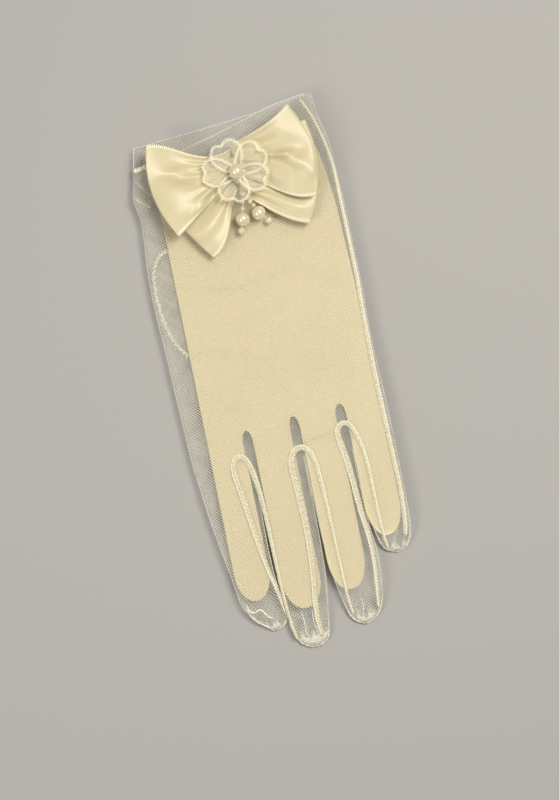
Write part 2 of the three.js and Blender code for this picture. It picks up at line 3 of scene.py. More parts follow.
import bpy
import numpy as np
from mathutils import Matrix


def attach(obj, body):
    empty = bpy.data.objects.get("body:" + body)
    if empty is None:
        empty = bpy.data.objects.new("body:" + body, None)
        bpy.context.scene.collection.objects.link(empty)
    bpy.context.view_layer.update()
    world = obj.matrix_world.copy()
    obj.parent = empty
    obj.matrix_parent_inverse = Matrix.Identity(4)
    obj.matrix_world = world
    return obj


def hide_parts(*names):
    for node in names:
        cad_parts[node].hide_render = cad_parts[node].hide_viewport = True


# The front glove of a child's communion pair, lying palm down: sheer net over a hand-shaped card,
# with a satin bow, a lace flower and pearls. Lengths are millimetres until a mesh is made.

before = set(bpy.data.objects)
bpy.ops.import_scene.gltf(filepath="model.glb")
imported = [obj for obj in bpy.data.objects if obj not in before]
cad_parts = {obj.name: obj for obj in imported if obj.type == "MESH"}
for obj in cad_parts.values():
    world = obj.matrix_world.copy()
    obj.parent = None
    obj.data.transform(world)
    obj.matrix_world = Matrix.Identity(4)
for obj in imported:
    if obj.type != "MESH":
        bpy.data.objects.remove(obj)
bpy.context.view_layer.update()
mm = 0.001
palmPoint = np.array([-1.4, 3.0, 0.0])  # where the tables' zero lies in the part's own frame


# Shader wiring

class Wire:
    # one output socket, with ordinary arithmetic on it

    def __init__(self, tree, socket):
        self.tree = tree
        self.socket = socket

    def calc(self, operation, first, second):
        made = self.tree.nodes.new("ShaderNodeMath")
        made.operation = operation
        for slot, value in zip(made.inputs, (first, second)):
            plug(self.tree, slot, value)
        return Wire(self.tree, made.outputs[0])

    def __add__(self, other):
        return self.calc("ADD", self, other)

    def __radd__(self, other):
        return self.calc("ADD", other, self)

    def __sub__(self, other):
        return self.calc("SUBTRACT", self, other)

    def __rsub__(self, other):
        return self.calc("SUBTRACT", other, self)

    def __mul__(self, other):
        return self.calc("MULTIPLY", self, other)

    def __rmul__(self, other):
        return self.calc("MULTIPLY", other, self)

    def __abs__(self):
        return self.calc("ABSOLUTE", self, 0.0)


def plug(tree, slot, value):
    # a link where the value is a wire, a plain setting otherwise
    if isinstance(value, Wire):
        tree.links.new(value.socket, slot)
    else:
        slot.default_value = value


def tint(red, green, blue):
    # a screen colour of 0 to 255 as linear light
    return tuple(((c / 255 + 0.055) / 1.055) ** 2.4 for c in (red, green, blue)) + (1.0,)


class Finish:
    # a material built round its Principled shader

    def __init__(self, name, **sockets):
        self.material = bpy.data.materials.new(name)
        self.material.use_nodes = True
        self.tree = self.material.node_tree
        self.shader = next(n for n in self.tree.nodes if n.type == "BSDF_PRINCIPLED")
        for socket, value in sockets.items():
            self.shader.inputs[socket.replace("_", " ")].default_value = value

    def node(self, kind, settings, values, output=0):
        # any node: its settings first, then the values or links of its sockets
        made = self.tree.nodes.new(kind)
        for key, value in settings.items():
            if key == "stops":
                for element, (place, shade) in zip(made.color_ramp.elements, value):
                    element.position = place
                    element.color = shade
            else:
                setattr(made, key, value)
        for key, value in values.items():
            plug(self.tree, made.inputs[key], value)
        return Wire(self.tree, made.outputs[output])

    def feed(self, socket, wire):
        self.tree.links.new(wire.socket, self.shader.inputs[socket])

    def blend(self, factor, first, second):
        # sockets 6 and 7 of a colour mix are its two colours, output 2 is the colour
        return self.node("ShaderNodeMix", {"data_type": "RGBA"}, {0: factor, 6: first, 7: second}, 2)

    def place(self):
        return self.node("ShaderNodeTexCoord", {}, {}, "Object")

    def onSurface(self):
        return self.node("ShaderNodeTexCoord", {}, {}, "UV")

    def noise(self, place, scale, detail=2.0):
        return self.node("ShaderNodeTexNoise", {}, {"Vector": place, "Scale": scale, "Detail": detail})

    def bands(self, place, scale, way="X"):
        return self.node("ShaderNodeTexWave", {"bands_direction": way}, {"Vector": place, "Scale": scale})

    def step(self, wire, low, high):
        # dark below low, light above high
        stops = [(low, (0.0, 0.0, 0.0, 1.0)), (high, (1.0, 1.0, 1.0, 1.0))]
        return self.node("ShaderNodeValToRGB", {"stops": stops}, {"Fac": wire})

    def bump(self, height, strength, depth):
        values = {"Height": height, "Strength": strength, "Distance": depth}
        self.feed("Normal", self.node("ShaderNodeBump", {}, values))


def threadFinish(name, shade, light, roughness, scale):
    # spun thread: two tones by fine noise, which is also its fuzz
    look = Finish(name, Roughness=roughness)
    fuzz = look.noise(look.place(), scale, 3.0)
    look.feed("Base Color", look.blend(fuzz, shade, light))
    look.bump(fuzz, 0.4, 0.0001)
    return look.material


def satinFinish():
    # smooth cream satin; both edges have a woven band with a row of small dots
    look = Finish("creamSatin", Roughness=0.31, Sheen_Weight=0.12, Sheen_Roughness=0.4)
    along = look.onSurface()
    across = look.node("ShaderNodeSeparateXYZ", {}, {"Vector": along}, 1)
    edge = look.step(abs(across - 0.5), 0.464, 0.47)
    dots = look.bands(along, 14.0)
    cloud = look.noise(look.place(), 60.0)
    body = look.blend(cloud, tint(205, 192, 152), tint(215, 203, 165))
    band = look.blend(dots, tint(206, 192, 150), tint(250, 244, 218))
    look.feed("Base Color", look.blend(edge, body, band))
    weft = look.bands(along, 90.0)
    look.bump(weft * 0.12 + dots * edge * 1.5, 0.5, 0.00012)
    return look.material


def cardFinish():
    # cream board: soft blotches of two creams, with a fine tooth
    look = Finish("creamCard", Roughness=0.85)
    place = look.place()
    blotches = look.noise(place, 18.0, 4.0)
    look.feed("Base Color", look.blend(blotches, tint(212, 198, 156), tint(223, 210, 170)))
    look.bump(look.noise(place, 900.0), 0.3, 0.00008)
    return look.material


def rollFinish():
    # net rolled into a soft seam: partly see-through, with crossed threads
    look = Finish("rolledNet", Roughness=0.6)
    place = look.place()
    cloud = look.noise(place, 750.0, 2.0)
    weave = look.bands(place, 420.0, "DIAGONAL") * look.bands(place, 420.0, "X")
    look.feed("Base Color", look.blend(cloud, tint(236, 226, 190), tint(248, 241, 214)))
    look.feed("Alpha", cloud * 0.6 + weave * 0.35 + 0.2)
    look.bump(weave, 0.5, 0.0002)
    return look.material


def petalFinish():
    # sheer organza: mostly see-through, with a fine crossed weave
    look = Finish("sheerPetal", Roughness=0.5, Base_Color=tint(248, 242, 220))
    place = look.place()
    weave = look.bands(place, 500.0, "DIAGONAL") + look.bands(place, 500.0, "Y")
    look.feed("Alpha", weave * 0.04 + look.noise(place, 300.0) * 0.08 + 0.04)
    return look.material


def pearlFinish():
    # nacre: a warm body with a soft cloud, under a clear coat
    look = Finish("pearlGloss", Roughness=0.24, Metallic=0.3, Coat_Weight=1.0, Coat_Roughness=0.03)
    cloud = look.noise(look.place(), 90.0, 1.0)
    look.feed("Base Color", look.blend(cloud, tint(228, 212, 174), tint(240, 228, 196)))
    return look.material


def glassFinish():
    # small clear beads, faintly cream
    look = Finish("clearBead", Roughness=0.06, Transmission_Weight=0.3, IOR=1.45, Coat_Weight=0.8)
    cloud = look.noise(look.place(), 500.0)
    look.feed("Base Color", look.blend(cloud, tint(232, 220, 186), tint(246, 238, 212)))
    return look.material


finishes = {
    "net": threadFinish("netThread", tint(240, 236, 220), tint(253, 250, 238), 0.6, 900.0),
    "cord": threadFinish("seamThread", tint(232, 223, 192), tint(250, 245, 222), 0.6, 1300.0),
    "tip": threadFinish("tipThread", tint(240, 235, 218), tint(254, 251, 240), 0.6, 900.0),
    "lace": threadFinish("laceThread", tint(244, 235, 200), tint(254, 250, 228), 0.5, 1200.0),
    "roll": rollFinish(),
    "card": cardFinish(),
    "satin": satinFinish(),
    "petal": petalFinish(),
    "pearl": pearlFinish(),
    "glass": glassFinish(),
}


# Mesh making

def makePiece(name, points, faces, finish, uv=None, smooth=True, node=None):
    # points in millimetres from the palm point; faces as lists of corners
    mesh = bpy.data.meshes.new(name)
    mesh.from_pydata(((np.asarray(points) + palmPoint) * mm).tolist(), [], faces)
    if uv is not None:
        corners = np.empty(len(mesh.loops), dtype=np.int32)
        mesh.loops.foreach_get("vertex_index", corners)
        layer = mesh.uv_layers.new(name="UVMap")
        layer.data.foreach_set("uv", np.asarray(uv, dtype=np.float32)[corners].ravel())
    mesh.polygons.foreach_set("use_smooth", np.full(len(mesh.polygons), smooth))
    mesh.materials.append(finishes[finish])
    mesh.update()
    piece = bpy.data.objects.new(name, mesh)
    bpy.context.scene.collection.objects.link(piece)
    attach(piece, "root")
    if node:
        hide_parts(node)
    return piece


def gridFaces(rows, columns, wrap=False):
    # the four corners of each cell; columns join round when wrap is set
    i, j = np.meshgrid(np.arange(rows - 1), np.arange(columns - (not wrap)), indexing="ij")
    k = (j + 1) % columns
    a, b = i * columns, (i + 1) * columns
    return np.stack([b + j, b + k, a + k, a + j], axis=-1).reshape(-1, 4)


def gridShares(rows, columns):
    # how far along and across each point of a grid is
    i, j = np.meshgrid(np.linspace(0, 1, rows), np.linspace(0, 1, columns), indexing="ij")
    return np.stack([i, j], axis=-1).reshape(-1, 2)


def evenPath(points, step):
    # the same path with evenly spaced points, by summed chord lengths
    path = np.asarray(points, float)
    run = np.concatenate([[0], np.cumsum(np.linalg.norm(np.diff(path, axis=0), axis=1))])
    at = np.linspace(0, run[-1], max(3, int(run[-1] / step) + 1))
    return np.stack([np.interp(at, run, path[:, k]) for k in range(path.shape[1])], axis=1)


def softPath(points, step, rounds):
    # evenly spaced, then every point moved to the mean of its neighbours, a few times
    path = evenPath(points, step)
    for _ in range(rounds):
        path = np.concatenate([path[:1], (path[:-2] + 2 * path[1:-1] + path[2:]) / 4, path[-1:]])
    return path


def pathSides(path, closed=False):
    # unit vectors along the path, to its left, and up from it
    count = len(path)
    steps = np.arange(count)
    if closed:
        tangent = np.roll(path, -1, 0) - np.roll(path, 1, 0)
    else:
        tangent = path[np.minimum(count - 1, steps + 1)] - path[np.maximum(0, steps - 1)]
    tangent = tangent / np.linalg.norm(tangent, axis=1, keepdims=True)
    left = np.cross([0, 0, 1.0], tangent)
    left /= np.linalg.norm(left, axis=1, keepdims=True) + 1e-9
    return tangent, left, np.cross(tangent, left)


def makeCord(name, path, halfWidth, halfHeight, finish, sides=8, closed=False, node=None):
    # an ellipse carried along the path: half width to the left, half height up; flat ends
    path = np.asarray(path, float)
    _, left, up = pathSides(path, closed)
    turn = -np.arange(sides) * 2 * math.pi / sides
    wide = np.broadcast_to(halfWidth, len(path))[:, None, None]
    tall = np.broadcast_to(halfHeight, len(path))[:, None, None]
    sideways = left[:, None] * np.cos(turn)[None, :, None] * wide
    upwards = up[:, None] * np.sin(turn)[None, :, None] * tall
    points = (path[:, None] + (sideways + upwards)).reshape(-1, 3)
    faces = gridFaces(len(path), sides, wrap=True)
    last = (len(path) - 1) * sides
    j = np.arange(sides)
    k = (j + 1) % sides
    if closed:
        joint = np.stack([j, k, last + k, last + j], axis=1)
        faces = np.concatenate([faces, joint]).tolist()
    else:
        faces = faces.tolist() + [j.tolist(), (last + j)[::-1].tolist()]
    return makePiece(name, points, faces, finish, gridShares(len(path), sides), node=node)


# The glove's outline and heights

# Distances towards the cuff, left and right edge, and the heights of the back net, of the side
# fold and of the palm net above the table; square is how flat the section's top is.
outlineColumns = ("along", "left", "right", "top", "middle", "bottom", "square")
outline = {
    "palm": [
        (110, -35.9, 38.4, 7.6, 4.0, 0.3, 3.0), (104, -36.2, 39.2, 7.9, 4.1, 0.3, 3.0),
        (100, -36.6, 39.5, 8.1, 4.2, 0.3, 3.0), (95, -37.6, 40.5, 8.2, 4.5, 0.3, 3.2),
        (91, -38.5, 41.5, 8.2, 4.7, 0.3, 3.3), (86, -39.2, 42.2, 8.2, 4.9, 0.3, 3.5),
        (82, -40.4, 42.4, 8.2, 5.0, 0.4, 3.5), (78.5, -41.1, 42.5, 8.1, 5.1, 0.7, 3.5),
        (74, -40.1, 42.8, 7.9, 5.2, 1.4, 4.0), (70, -39.4, 43.0, 7.6, 5.2, 2.2, 4.5),
        (60, -40.0, 43.4, 6.9, 5.2, 3.5, 5.5), (50, -40.9, 43.5, 6.4, 5.2, 3.7, 6.0),
        (37, -41.3, 43.6, 6.2, 5.2, 3.7, 6.0), (25, -40.8, 43.8, 6.15, 5.2, 3.7, 6.0),
        (15, -40.3, 43.4, 6.15, 5.2, 3.7, 6.0), (5, -40.0, 43.1, 6.15, 5.2, 3.7, 6.0),
        (-14, -39.4, 43.8, 6.15, 5.2, 3.7, 6.0), (-29, -38.8, 44.1, 6.15, 5.2, 3.6, 6.0),
        (-36, -38.4, 44.1, 6.15, 5.2, 3.5, 6.0),
    ],
    "index": [
        (-30, -38.8, -14.7, 6.15, 5.2, 3.6, 4.0), (-45, -37.4, -14.7, 6.15, 5.2, 2.4, 4.0),
        (-58, -35.9, -14.8, 6.15, 5.2, 1.6, 4.0), (-72, -33.7, -15.0, 6.15, 5.2, 0.9, 4.0),
        (-82, -32.1, -14.7, 6.15, 5.1, 0.4, 4.0), (-90, -31.1, -14.0, 6.1, 4.8, 0.3, 3.5),
        (-94.5, -29.6, -13.4, 5.6, 3.8, 0.3, 3.0), (-99.5, -25.3, -13.0, 4.4, 2.4, 0.3, 2.6),
        (-102.5, -22.4, -13.6, 3.4, 1.8, 0.3, 2.4), (-104.3, -20.0, -17.0, 2.6, 1.4, 0.4, 2.2),
    ],
    "middle": [
        (-30, -14.7, 6.6, 6.15, 5.2, 3.6, 4.0), (-50, -14.6, 6.6, 6.15, 5.2, 2.2, 4.0),
        (-68, -14.2, 6.5, 6.15, 5.2, 1.2, 4.0), (-84, -13.6, 6.0, 6.15, 5.2, 0.4, 4.0),
        (-94, -13.1, 5.0, 6.15, 5.0, 0.3, 3.6), (-100, -12.6, 4.0, 5.9, 4.2, 0.3, 3.2),
        (-106, -11.6, 3.1, 4.8, 2.8, 0.3, 2.8), (-110.5, -10.5, 2.4, 3.8, 2.0, 0.3, 2.5),
        (-113, -8.6, 0.9, 2.9, 1.6, 0.4, 2.3), (-114.1, -5.5, -1.8, 2.4, 1.3, 0.4, 2.2),
    ],
    "ring": [
        (-30, 6.6, 26.6, 6.15, 5.2, 3.6, 4.0), (-50, 6.6, 26.7, 6.15, 5.2, 2.2, 4.0),
        (-62, 6.9, 26.9, 6.15, 5.2, 1.6, 4.0), (-72, 7.1, 27.4, 6.15, 5.2, 0.9, 4.0),
        (-80, 7.5, 28.4, 6.15, 5.2, 0.5, 4.0), (-88, 8.4, 28.2, 6.15, 5.1, 0.3, 3.8),
        (-95, 9.7, 27.5, 6.0, 4.6, 0.3, 3.4), (-101, 11.0, 26.4, 5.0, 3.0, 0.3, 2.9),
        (-105.5, 12.4, 24.5, 3.8, 2.0, 0.3, 2.5), (-108.2, 15.2, 21.2, 2.8, 1.5, 0.4, 2.3),
        (-109.0, 17.2, 19.2, 2.4, 1.3, 0.4, 2.2),
    ],
    "little": [
        (-30, 26.6, 44.1, 6.15, 5.2, 3.6, 4.0), (-45, 26.7, 44.2, 6.15, 5.2, 2.4, 4.0),
        (-60, 27.1, 44.2, 6.15, 5.2, 1.0, 4.0), (-68, 27.9, 44.1, 6.15, 5.1, 0.4, 4.0),
        (-73, 28.8, 43.7, 6.0, 4.8, 0.3, 3.5), (-78, 30.0, 42.6, 5.0, 3.2, 0.3, 3.0),
        (-80.8, 31.4, 41.2, 3.8, 2.0, 0.3, 2.6), (-82.4, 34.0, 39.4, 2.8, 1.5, 0.4, 2.3),
        (-82.8, 35.8, 37.6, 2.4, 1.3, 0.4, 2.2),
    ],
}
crotch = -35.0  # where the palm's net becomes the fingers'
outsideHeight = 5.2  # given to both nets where there is no glove
smoothing = {"step": 0.25, "palm": 9, "finger": 5}  # a table's samples, and how many of them to each side

# The cuff's two edges
palmCuff = {
    "columns": ("across", "along"),
    "rows": [(-36.5, 100.0), (0.0, 103.2), (20.0, 105.3), (36.0, 107.8)],
}
backCuff = {
    "columns": ("across", "along"),
    "rows": [(-38.5, 90.6), (-34.0, 91.0), (-15.0, 95.3), (0.0, 99.0), (10.0, 102.0), (20.0, 105.2),
             (36.0, 107.8)],
}


def denseTable(part):
    # each column at evenly spaced places, linear between rows, then a short running mean
    rows = np.array(sorted(outline[part]), float)
    along = np.arange(rows[0, 0], rows[-1, 0] + 1e-6, smoothing["step"])
    reach = smoothing["palm" if part == "palm" else "finger"]
    kernel = np.ones(2 * reach + 1) / (2 * reach + 1)
    dense = {"along": along}
    for k, column in enumerate(outlineColumns[1:], 1):
        values = np.interp(along, rows[:, 0], rows[:, k])
        before = 2 * values[0] - values[reach:0:-1]
        after = 2 * values[-1] - values[-2:-reach - 2:-1]
        dense[column] = np.convolve(np.concatenate([before, values, after]), kernel, "valid")
    return dense


tubes = {part: denseTable(part) for part in outline}


def lineAt(table, x):
    # the table's edge at x, linear between its rows
    rows = np.array(table["rows"], float)
    return np.interp(x, rows[:, 0], rows[:, 1])


def tubeHeights(part, x, y):
    # s is the share of the half width; height = middle + (top or bottom - middle)(1 - s^n)^(1/n)
    tube = tubes[part]
    values = [np.interp(y, tube["along"], tube[column]) for column in outlineColumns[1:]]
    left, right, top, middle, bottom, square = values
    s = np.abs(x - (left + right) / 2) / ((right - left) / 2)
    reached = (y >= crotch) if part == "palm" else (y < crotch) & (y >= tube["along"][0])
    dome = np.maximum(0, 1 - np.minimum(s, 1) ** square) ** (1 / square)
    return (s < 1) & reached, middle + (top - middle) * dome, middle + (bottom - middle) * dome


def gloveHeights(x, y):
    # inside the glove's sides or not, and the heights of its back and palm nets there
    inside = np.zeros(np.shape(x), bool)
    top = np.full(np.shape(x), outsideHeight)
    bottom = top
    for part in tubes:
        here, high, low = tubeHeights(part, x, y)
        top = np.where(here, high, top)
        bottom = np.where(here, low, bottom)
        inside = inside | here
    return inside, top, bottom


# Soft folds of the back net. Dense is how far from a fold's line the net doubles over itself,
# and the angles, pitch and step are those of the threads there.
folds = {
    "angles": (70, 160), "pitch": 0.5, "step": 1.0,
    "columns": ("fromX", "fromY", "toX", "toY", "height", "half", "dense"),
    "rows": [
        (-20.0, 37.0, -4.0, 36.2, 0.6, 1.1, 0.3), (-4.0, 36.2, 10.0, 37.5, 0.5, 1.1, 0.25),
        (-30.0, 12.5, -15.0, 10.5, 0.6, 1.1, 0.3), (-15.0, 10.5, 0.0, 5.0, 0.5, 1.2, 0.25),
        (8.0, -31.5, 20.5, -29.5, 0.7, 1.0, 0.35), (-40.8, 79.5, -34.5, 74.5, 0.8, 1.4, 0.5),
        (-38.5, 86.0, -33.0, 79.0, 0.6, 1.3, 0.4), (-36.0, 70.0, -33.0, 46.0, 0.4, 1.8, 0.0),
        (12.0, 45.0, 34.0, 30.0, 0.3, 2.4, 0.0), (-24.0, -8.0, -8.0, -16.0, 0.25, 2.4, 0.0),
        (14.0, 0.0, 34.0, -8.0, 0.25, 2.6, 0.0),
    ],
}


def foldHeight(x, y):
    # each fold adds its height times a bell curve of the distance from its line
    total = np.zeros(np.shape(x))
    for x0, y0, x1, y1, height, half, _ in folds["rows"]:
        dx, dy = x1 - x0, y1 - y0
        t = np.clip(((x - x0) * dx + (y - y0) * dy) / (dx * dx + dy * dy), 0, 1)
        total += height * np.exp(-((x - x0 - t * dx) ** 2 + (y - y0 - t * dy) ** 2) / half ** 2)
    return total


def insidePalm(x, y):
    # between the sides and short of the palm's cuff edge
    return gloveHeights(x, y)[0] & (y <= lineAt(palmCuff, x))


def insideBack(x, y):
    # between the sides and short of the back's cuff edge
    return gloveHeights(x, y)[0] & (y <= lineAt(backCuff, x))


def backHeight(x, y):
    # the section's top plus the folds on it
    return gloveHeights(x, y)[1] + foldHeight(x, y)


def palmHeight(x, y):
    # the section's underside
    return gloveHeights(x, y)[2]


def level(z):
    # a height that is the same everywhere
    def height(x, y):
        return np.full(np.shape(x), z)
    return height


def raised(surface, lift):
    # another height, moved up or down as a whole
    def height(x, y):
        return surface(x, y) + lift
    return height


def insidePolygon(polygon):
    # even-odd rule: count the sides that a line to the right of each point crosses
    def inside(x, y):
        result = np.zeros(np.shape(x), bool)
        for (x0, y0), (x1, y1) in zip(polygon, np.roll(polygon, -1, axis=0)):
            result ^= ((y0 > y) != (y1 > y)) & (x < (x1 - x0) * (y - y0) / (y1 - y0 + 1e-12) + x0)
        return result
    return inside


def nearPath(points, reach):
    # the back net where the nearest of the path's closely spaced points is within reach
    path = evenPath(points, 0.5)
    low, high = path.min(axis=0) - reach, path.max(axis=0) + reach

    def inside(x, y):
        result = np.zeros(np.shape(x), bool)
        near = (x > low[0]) & (x < high[0]) & (y > low[1]) & (y < high[1])
        away = (x[near][:, None] - path[:, 0]) ** 2 + (y[near][:, None] - path[:, 1]) ** 2
        result[near] = away.min(axis=1) < reach ** 2 if near.any() else False
        return result & insideBack(x, y)
    return inside


# Net of crossed families of thread. Each line is sampled to find where it is inside the shape, and
# a run of no more sample steps than the shortest is left out.
net = {
    "pitch": 0.9, "halfThread": 0.095, "step": 2.3, "reach": 130.0, "sample": 0.2, "shortest": 2,
    "backAngles": (46, 134), "palmAngles": (43, 137), "palmShift": 0.3,
}


def threadRuns(angle, inside, height, pitch=net["pitch"], step=net["step"], shift=0.0):
    # parallel lines, cut where they leave the outline, evenly divided and laid on the height
    a = math.radians(angle)
    lines = np.arange(-net["reach"], net["reach"], pitch) + shift
    t = np.arange(-net["reach"], net["reach"], net["sample"])
    x = t[None] * math.cos(a) - lines[:, None] * math.sin(a)
    y = t[None] * math.sin(a) + lines[:, None] * math.cos(a)
    change = np.diff(np.pad(inside(x, y), ((0, 0), (1, 1))).astype(np.int8), axis=1)
    line, first = np.nonzero(change == 1)
    last = np.nonzero(change == -1)[1] - 1
    kept = last - first > net["shortest"]
    line, start, end = line[kept], t[first[kept]], t[last[kept]]
    count = np.ceil((end - start) / step).astype(int) + 1
    run = np.repeat(np.arange(len(count)), count)
    place = np.arange(len(run)) - np.repeat(np.cumsum(count) - count, count)
    at = start[run] + (end - start)[run] * place / (count - 1)[run]
    x = at * math.cos(a) - lines[line][run] * math.sin(a)
    y = at * math.sin(a) + lines[line][run] * math.cos(a)
    return np.column_stack([x, y, height(x, y)]), run


def makeNet(name, layers, finish, node=None):
    # every thread is a three-sided prism along its run, closed at both ends
    layers = [(points, run) for points, run in layers if len(points)]
    path = np.concatenate([points for points, _ in layers])
    starts = np.cumsum([0] + [run[-1] + 1 for _, run in layers[:-1]])
    run = np.concatenate([run + start for (_, run), start in zip(layers, starts)])
    joined = run[1:] == run[:-1]
    steps = np.where(joined[:, None], np.diff(path, axis=0), 0)
    still = np.zeros((1, 3))
    tangent = np.concatenate([steps, still]) + np.concatenate([still, steps])
    tangent /= np.linalg.norm(tangent, axis=1, keepdims=True)
    left = np.cross([0, 0, 1.0], tangent)
    left /= np.linalg.norm(left, axis=1, keepdims=True)
    up = np.cross(tangent, left)
    turn = np.radians([90, 330, 210])
    ring = left[:, None] * np.cos(turn)[None, :, None] + up[:, None] * np.sin(turn)[None, :, None]
    points = (path[:, None] + ring * net["halfThread"]).reshape(-1, 3)
    i = 3 * np.nonzero(joined)[0]
    walls = [np.stack([i + 3 + j, i + 3 + (j + 1) % 3, i + (j + 1) % 3, i + j], axis=1) for j in range(3)]
    first = 3 * np.nonzero(np.concatenate([[True], ~joined]))[0]
    last = 3 * np.nonzero(np.concatenate([~joined, [True]]))[0]
    caps = [np.stack([first, first + 1, first + 2], axis=1), np.stack([last + 2, last + 1, last], axis=1)]
    faces = np.concatenate(walls).tolist() + np.concatenate(caps).tolist()
    return makePiece(name, points, faces, finish, node=node)


def crossed(angles, inside, height, **spacing):
    # one family of parallel threads at each angle
    return [threadRuns(angle, inside, height, **spacing) for angle in angles]


makeNet("back_net", crossed(net["backAngles"], insideBack, backHeight), "net", "glove_net")
makeNet("palm_net", crossed(net["palmAngles"], insidePalm, palmHeight, shift=net["palmShift"]), "net")
print("glove net made")

# Narrow bands where the back net doubles over itself
doubled = []
for x0, y0, x1, y1, _, _, dense in folds["rows"]:
    if dense:
        band = nearPath([(x0, y0), (x1, y1)], dense)
        doubled += crossed(folds["angles"], band, backHeight, pitch=folds["pitch"], step=folds["step"])
makeNet("doubled_folds", doubled, "cord")

# Fingertips: the seam allowance inside makes the net's end dense, most of all near its rim.
# A layer reaches from the finger's end to a share of one of the finger's two depths.
tips = {
    "columns": ("finger", "end", "deep", "shallow"),
    "rows": [("index", -104.3, 4.5, 2.2), ("middle", -114.1, 8.5, 4.5), ("ring", -109.0, 7.0, 3.2),
             ("little", -82.8, 4.5, 2.4)],
    "layerColumns": ("angles", "depth", "share", "height", "pitch"),
    "layers": [((62, 118), "deep", 1, raised(palmHeight, 0.4), 0.7),
               ((15, 88), "deep", 0.75, raised(backHeight, -0.3), 0.6),
               ((30, 75, 105, 150), "shallow", 1, raised(backHeight, -0.1), 0.55)],
}


def tipRegion(part, end, depth):
    # the part of a finger nearer to its end than a gently waving depth
    def inside(x, y):
        here, _, _ = tubeHeights(part, x, y)
        return here & (y < end + depth + 0.9 * np.sin(x * 1.3) + 0.5 * np.sin(x * 2.9 + 1))
    return inside


tipLayers = []
for part, end, deep, shallow in tips["rows"]:
    depths = {"deep": deep, "shallow": shallow}
    for angles, depth, share, height, pitch in tips["layers"]:
        tipLayers += crossed(angles, tipRegion(part, end, depths[depth] * share), height, pitch=pitch)
makeNet("fingertip_hems", tipLayers, "tip")
print("fingertips made")

# Thumb, folded flat under the palm
thumb = {
    "top": 2.9, "topAngles": (52, 140), "topShift": 0.2, "bottom": 0.15, "bottomAngles": (40, 128),
    "columns": ("across", "along", "half", "turn"),
    "rows": [
        (-40.6, 33, 5, 0), (-38.4, 33, 14.6, 0), (-33.6, 33, 21.6, 0), (-27, 33, 25, 0), (-19, 32, 23.6, 8),
        (-11, 29, 18.6, 18), (-3, 25, 14.1, 26), (7, 19.5, 11.1, 29), (17, 14, 9.6, 29), (24, 10.2, 7.6, 29),
        (27.6, 8.2, 4.2, 29),
    ],
}


def thumbOutline():
    # from each middle point, its half width to both sides, turned by its angle
    rows = np.array(thumb["rows"], float)
    turn = np.radians(rows[:, 3])
    side = np.stack([np.sin(turn), np.cos(turn)], axis=1) * rows[:, 2:3]
    return np.concatenate([rows[:, :2] + side, (rows[:, :2] - side)[::-1]])


insideThumb = insidePolygon(thumbOutline())
thumbLayers = crossed(thumb["bottomAngles"], insideThumb, level(thumb["bottom"]))
thumbLayers += crossed(thumb["topAngles"], insideThumb, level(thumb["top"]), shift=thumb["topShift"])
makeNet("thumb_folded_net", thumbLayers, "net", "thumb_net")
print("thumb made")

# Card. Round is the power of the fingertips' superellipse; arch is the height of a slot's end, as
# a share of half its width.
card = {
    "bottom": 4.95, "thickness": 0.7, "eased": 0.18, "round": 2.2, "arch": 2.4, "left": -31.0, "top": 86.0,
    "columns": ("left", "right", "shoulder", "tip", "slot"),
    "fingers": [(-31.0, -16.6, -78.0, -91.0, -22.3), (-12.6, 3.3, -84.0, -97.8, -20.3),
                (7.3, 22.6, -79.0, -94.0, -19.0), (26.8, 41.2, -61.0, -75.3, None)],
    "side": [(41.0, 30.0), (40.0, 60.0), (38.5, 75.0), (36.5, 86.0)],
}


def cardOutline():
    # each fingertip is half a superellipse; each slot ends in a tall half ellipse
    edge = [(card["left"], card["top"])]
    across = -np.cos(np.linspace(0, math.pi, 33))
    turn = np.linspace(0, math.pi, 15)
    for k, (left, right, shoulder, tip, slot) in enumerate(card["fingers"]):
        reach = np.maximum(0, 1 - np.abs(across) ** card["round"]) ** (1 / card["round"])
        x = (left + right) / 2 + across * (right - left) / 2
        edge += list(zip(x, shoulder + (tip - shoulder) * reach))
        if slot is not None:
            half = (card["fingers"][k + 1][0] - right) / 2
            rise = card["arch"] * half
            edge += list(zip(right + half * (1 - np.cos(turn)), slot - rise + rise * np.sin(turn)))
    return np.array(edge + card["side"])


def makeCard():
    # the outline at two heights, walls between them, and an eased edge
    edge = cardOutline()
    count = len(edge)
    low = np.column_stack([edge, np.full(count, card["bottom"])])
    high = np.column_stack([edge, np.full(count, card["bottom"] + card["thickness"])])
    j = np.arange(count)
    k = (j + 1) % count
    walls = np.stack([j, k, count + k, count + j], axis=1).tolist()
    faces = walls + [j[::-1].tolist(), (count + j).tolist()]
    points = np.concatenate([low, high])
    piece = makePiece("card_hand", points, faces, "card", smooth=False, node="hand_card")
    eased = piece.modifiers.new("Eased", "BEVEL")
    eased.width = card["eased"] * mm
    eased.segments = 2


makeCard()
print("card made")

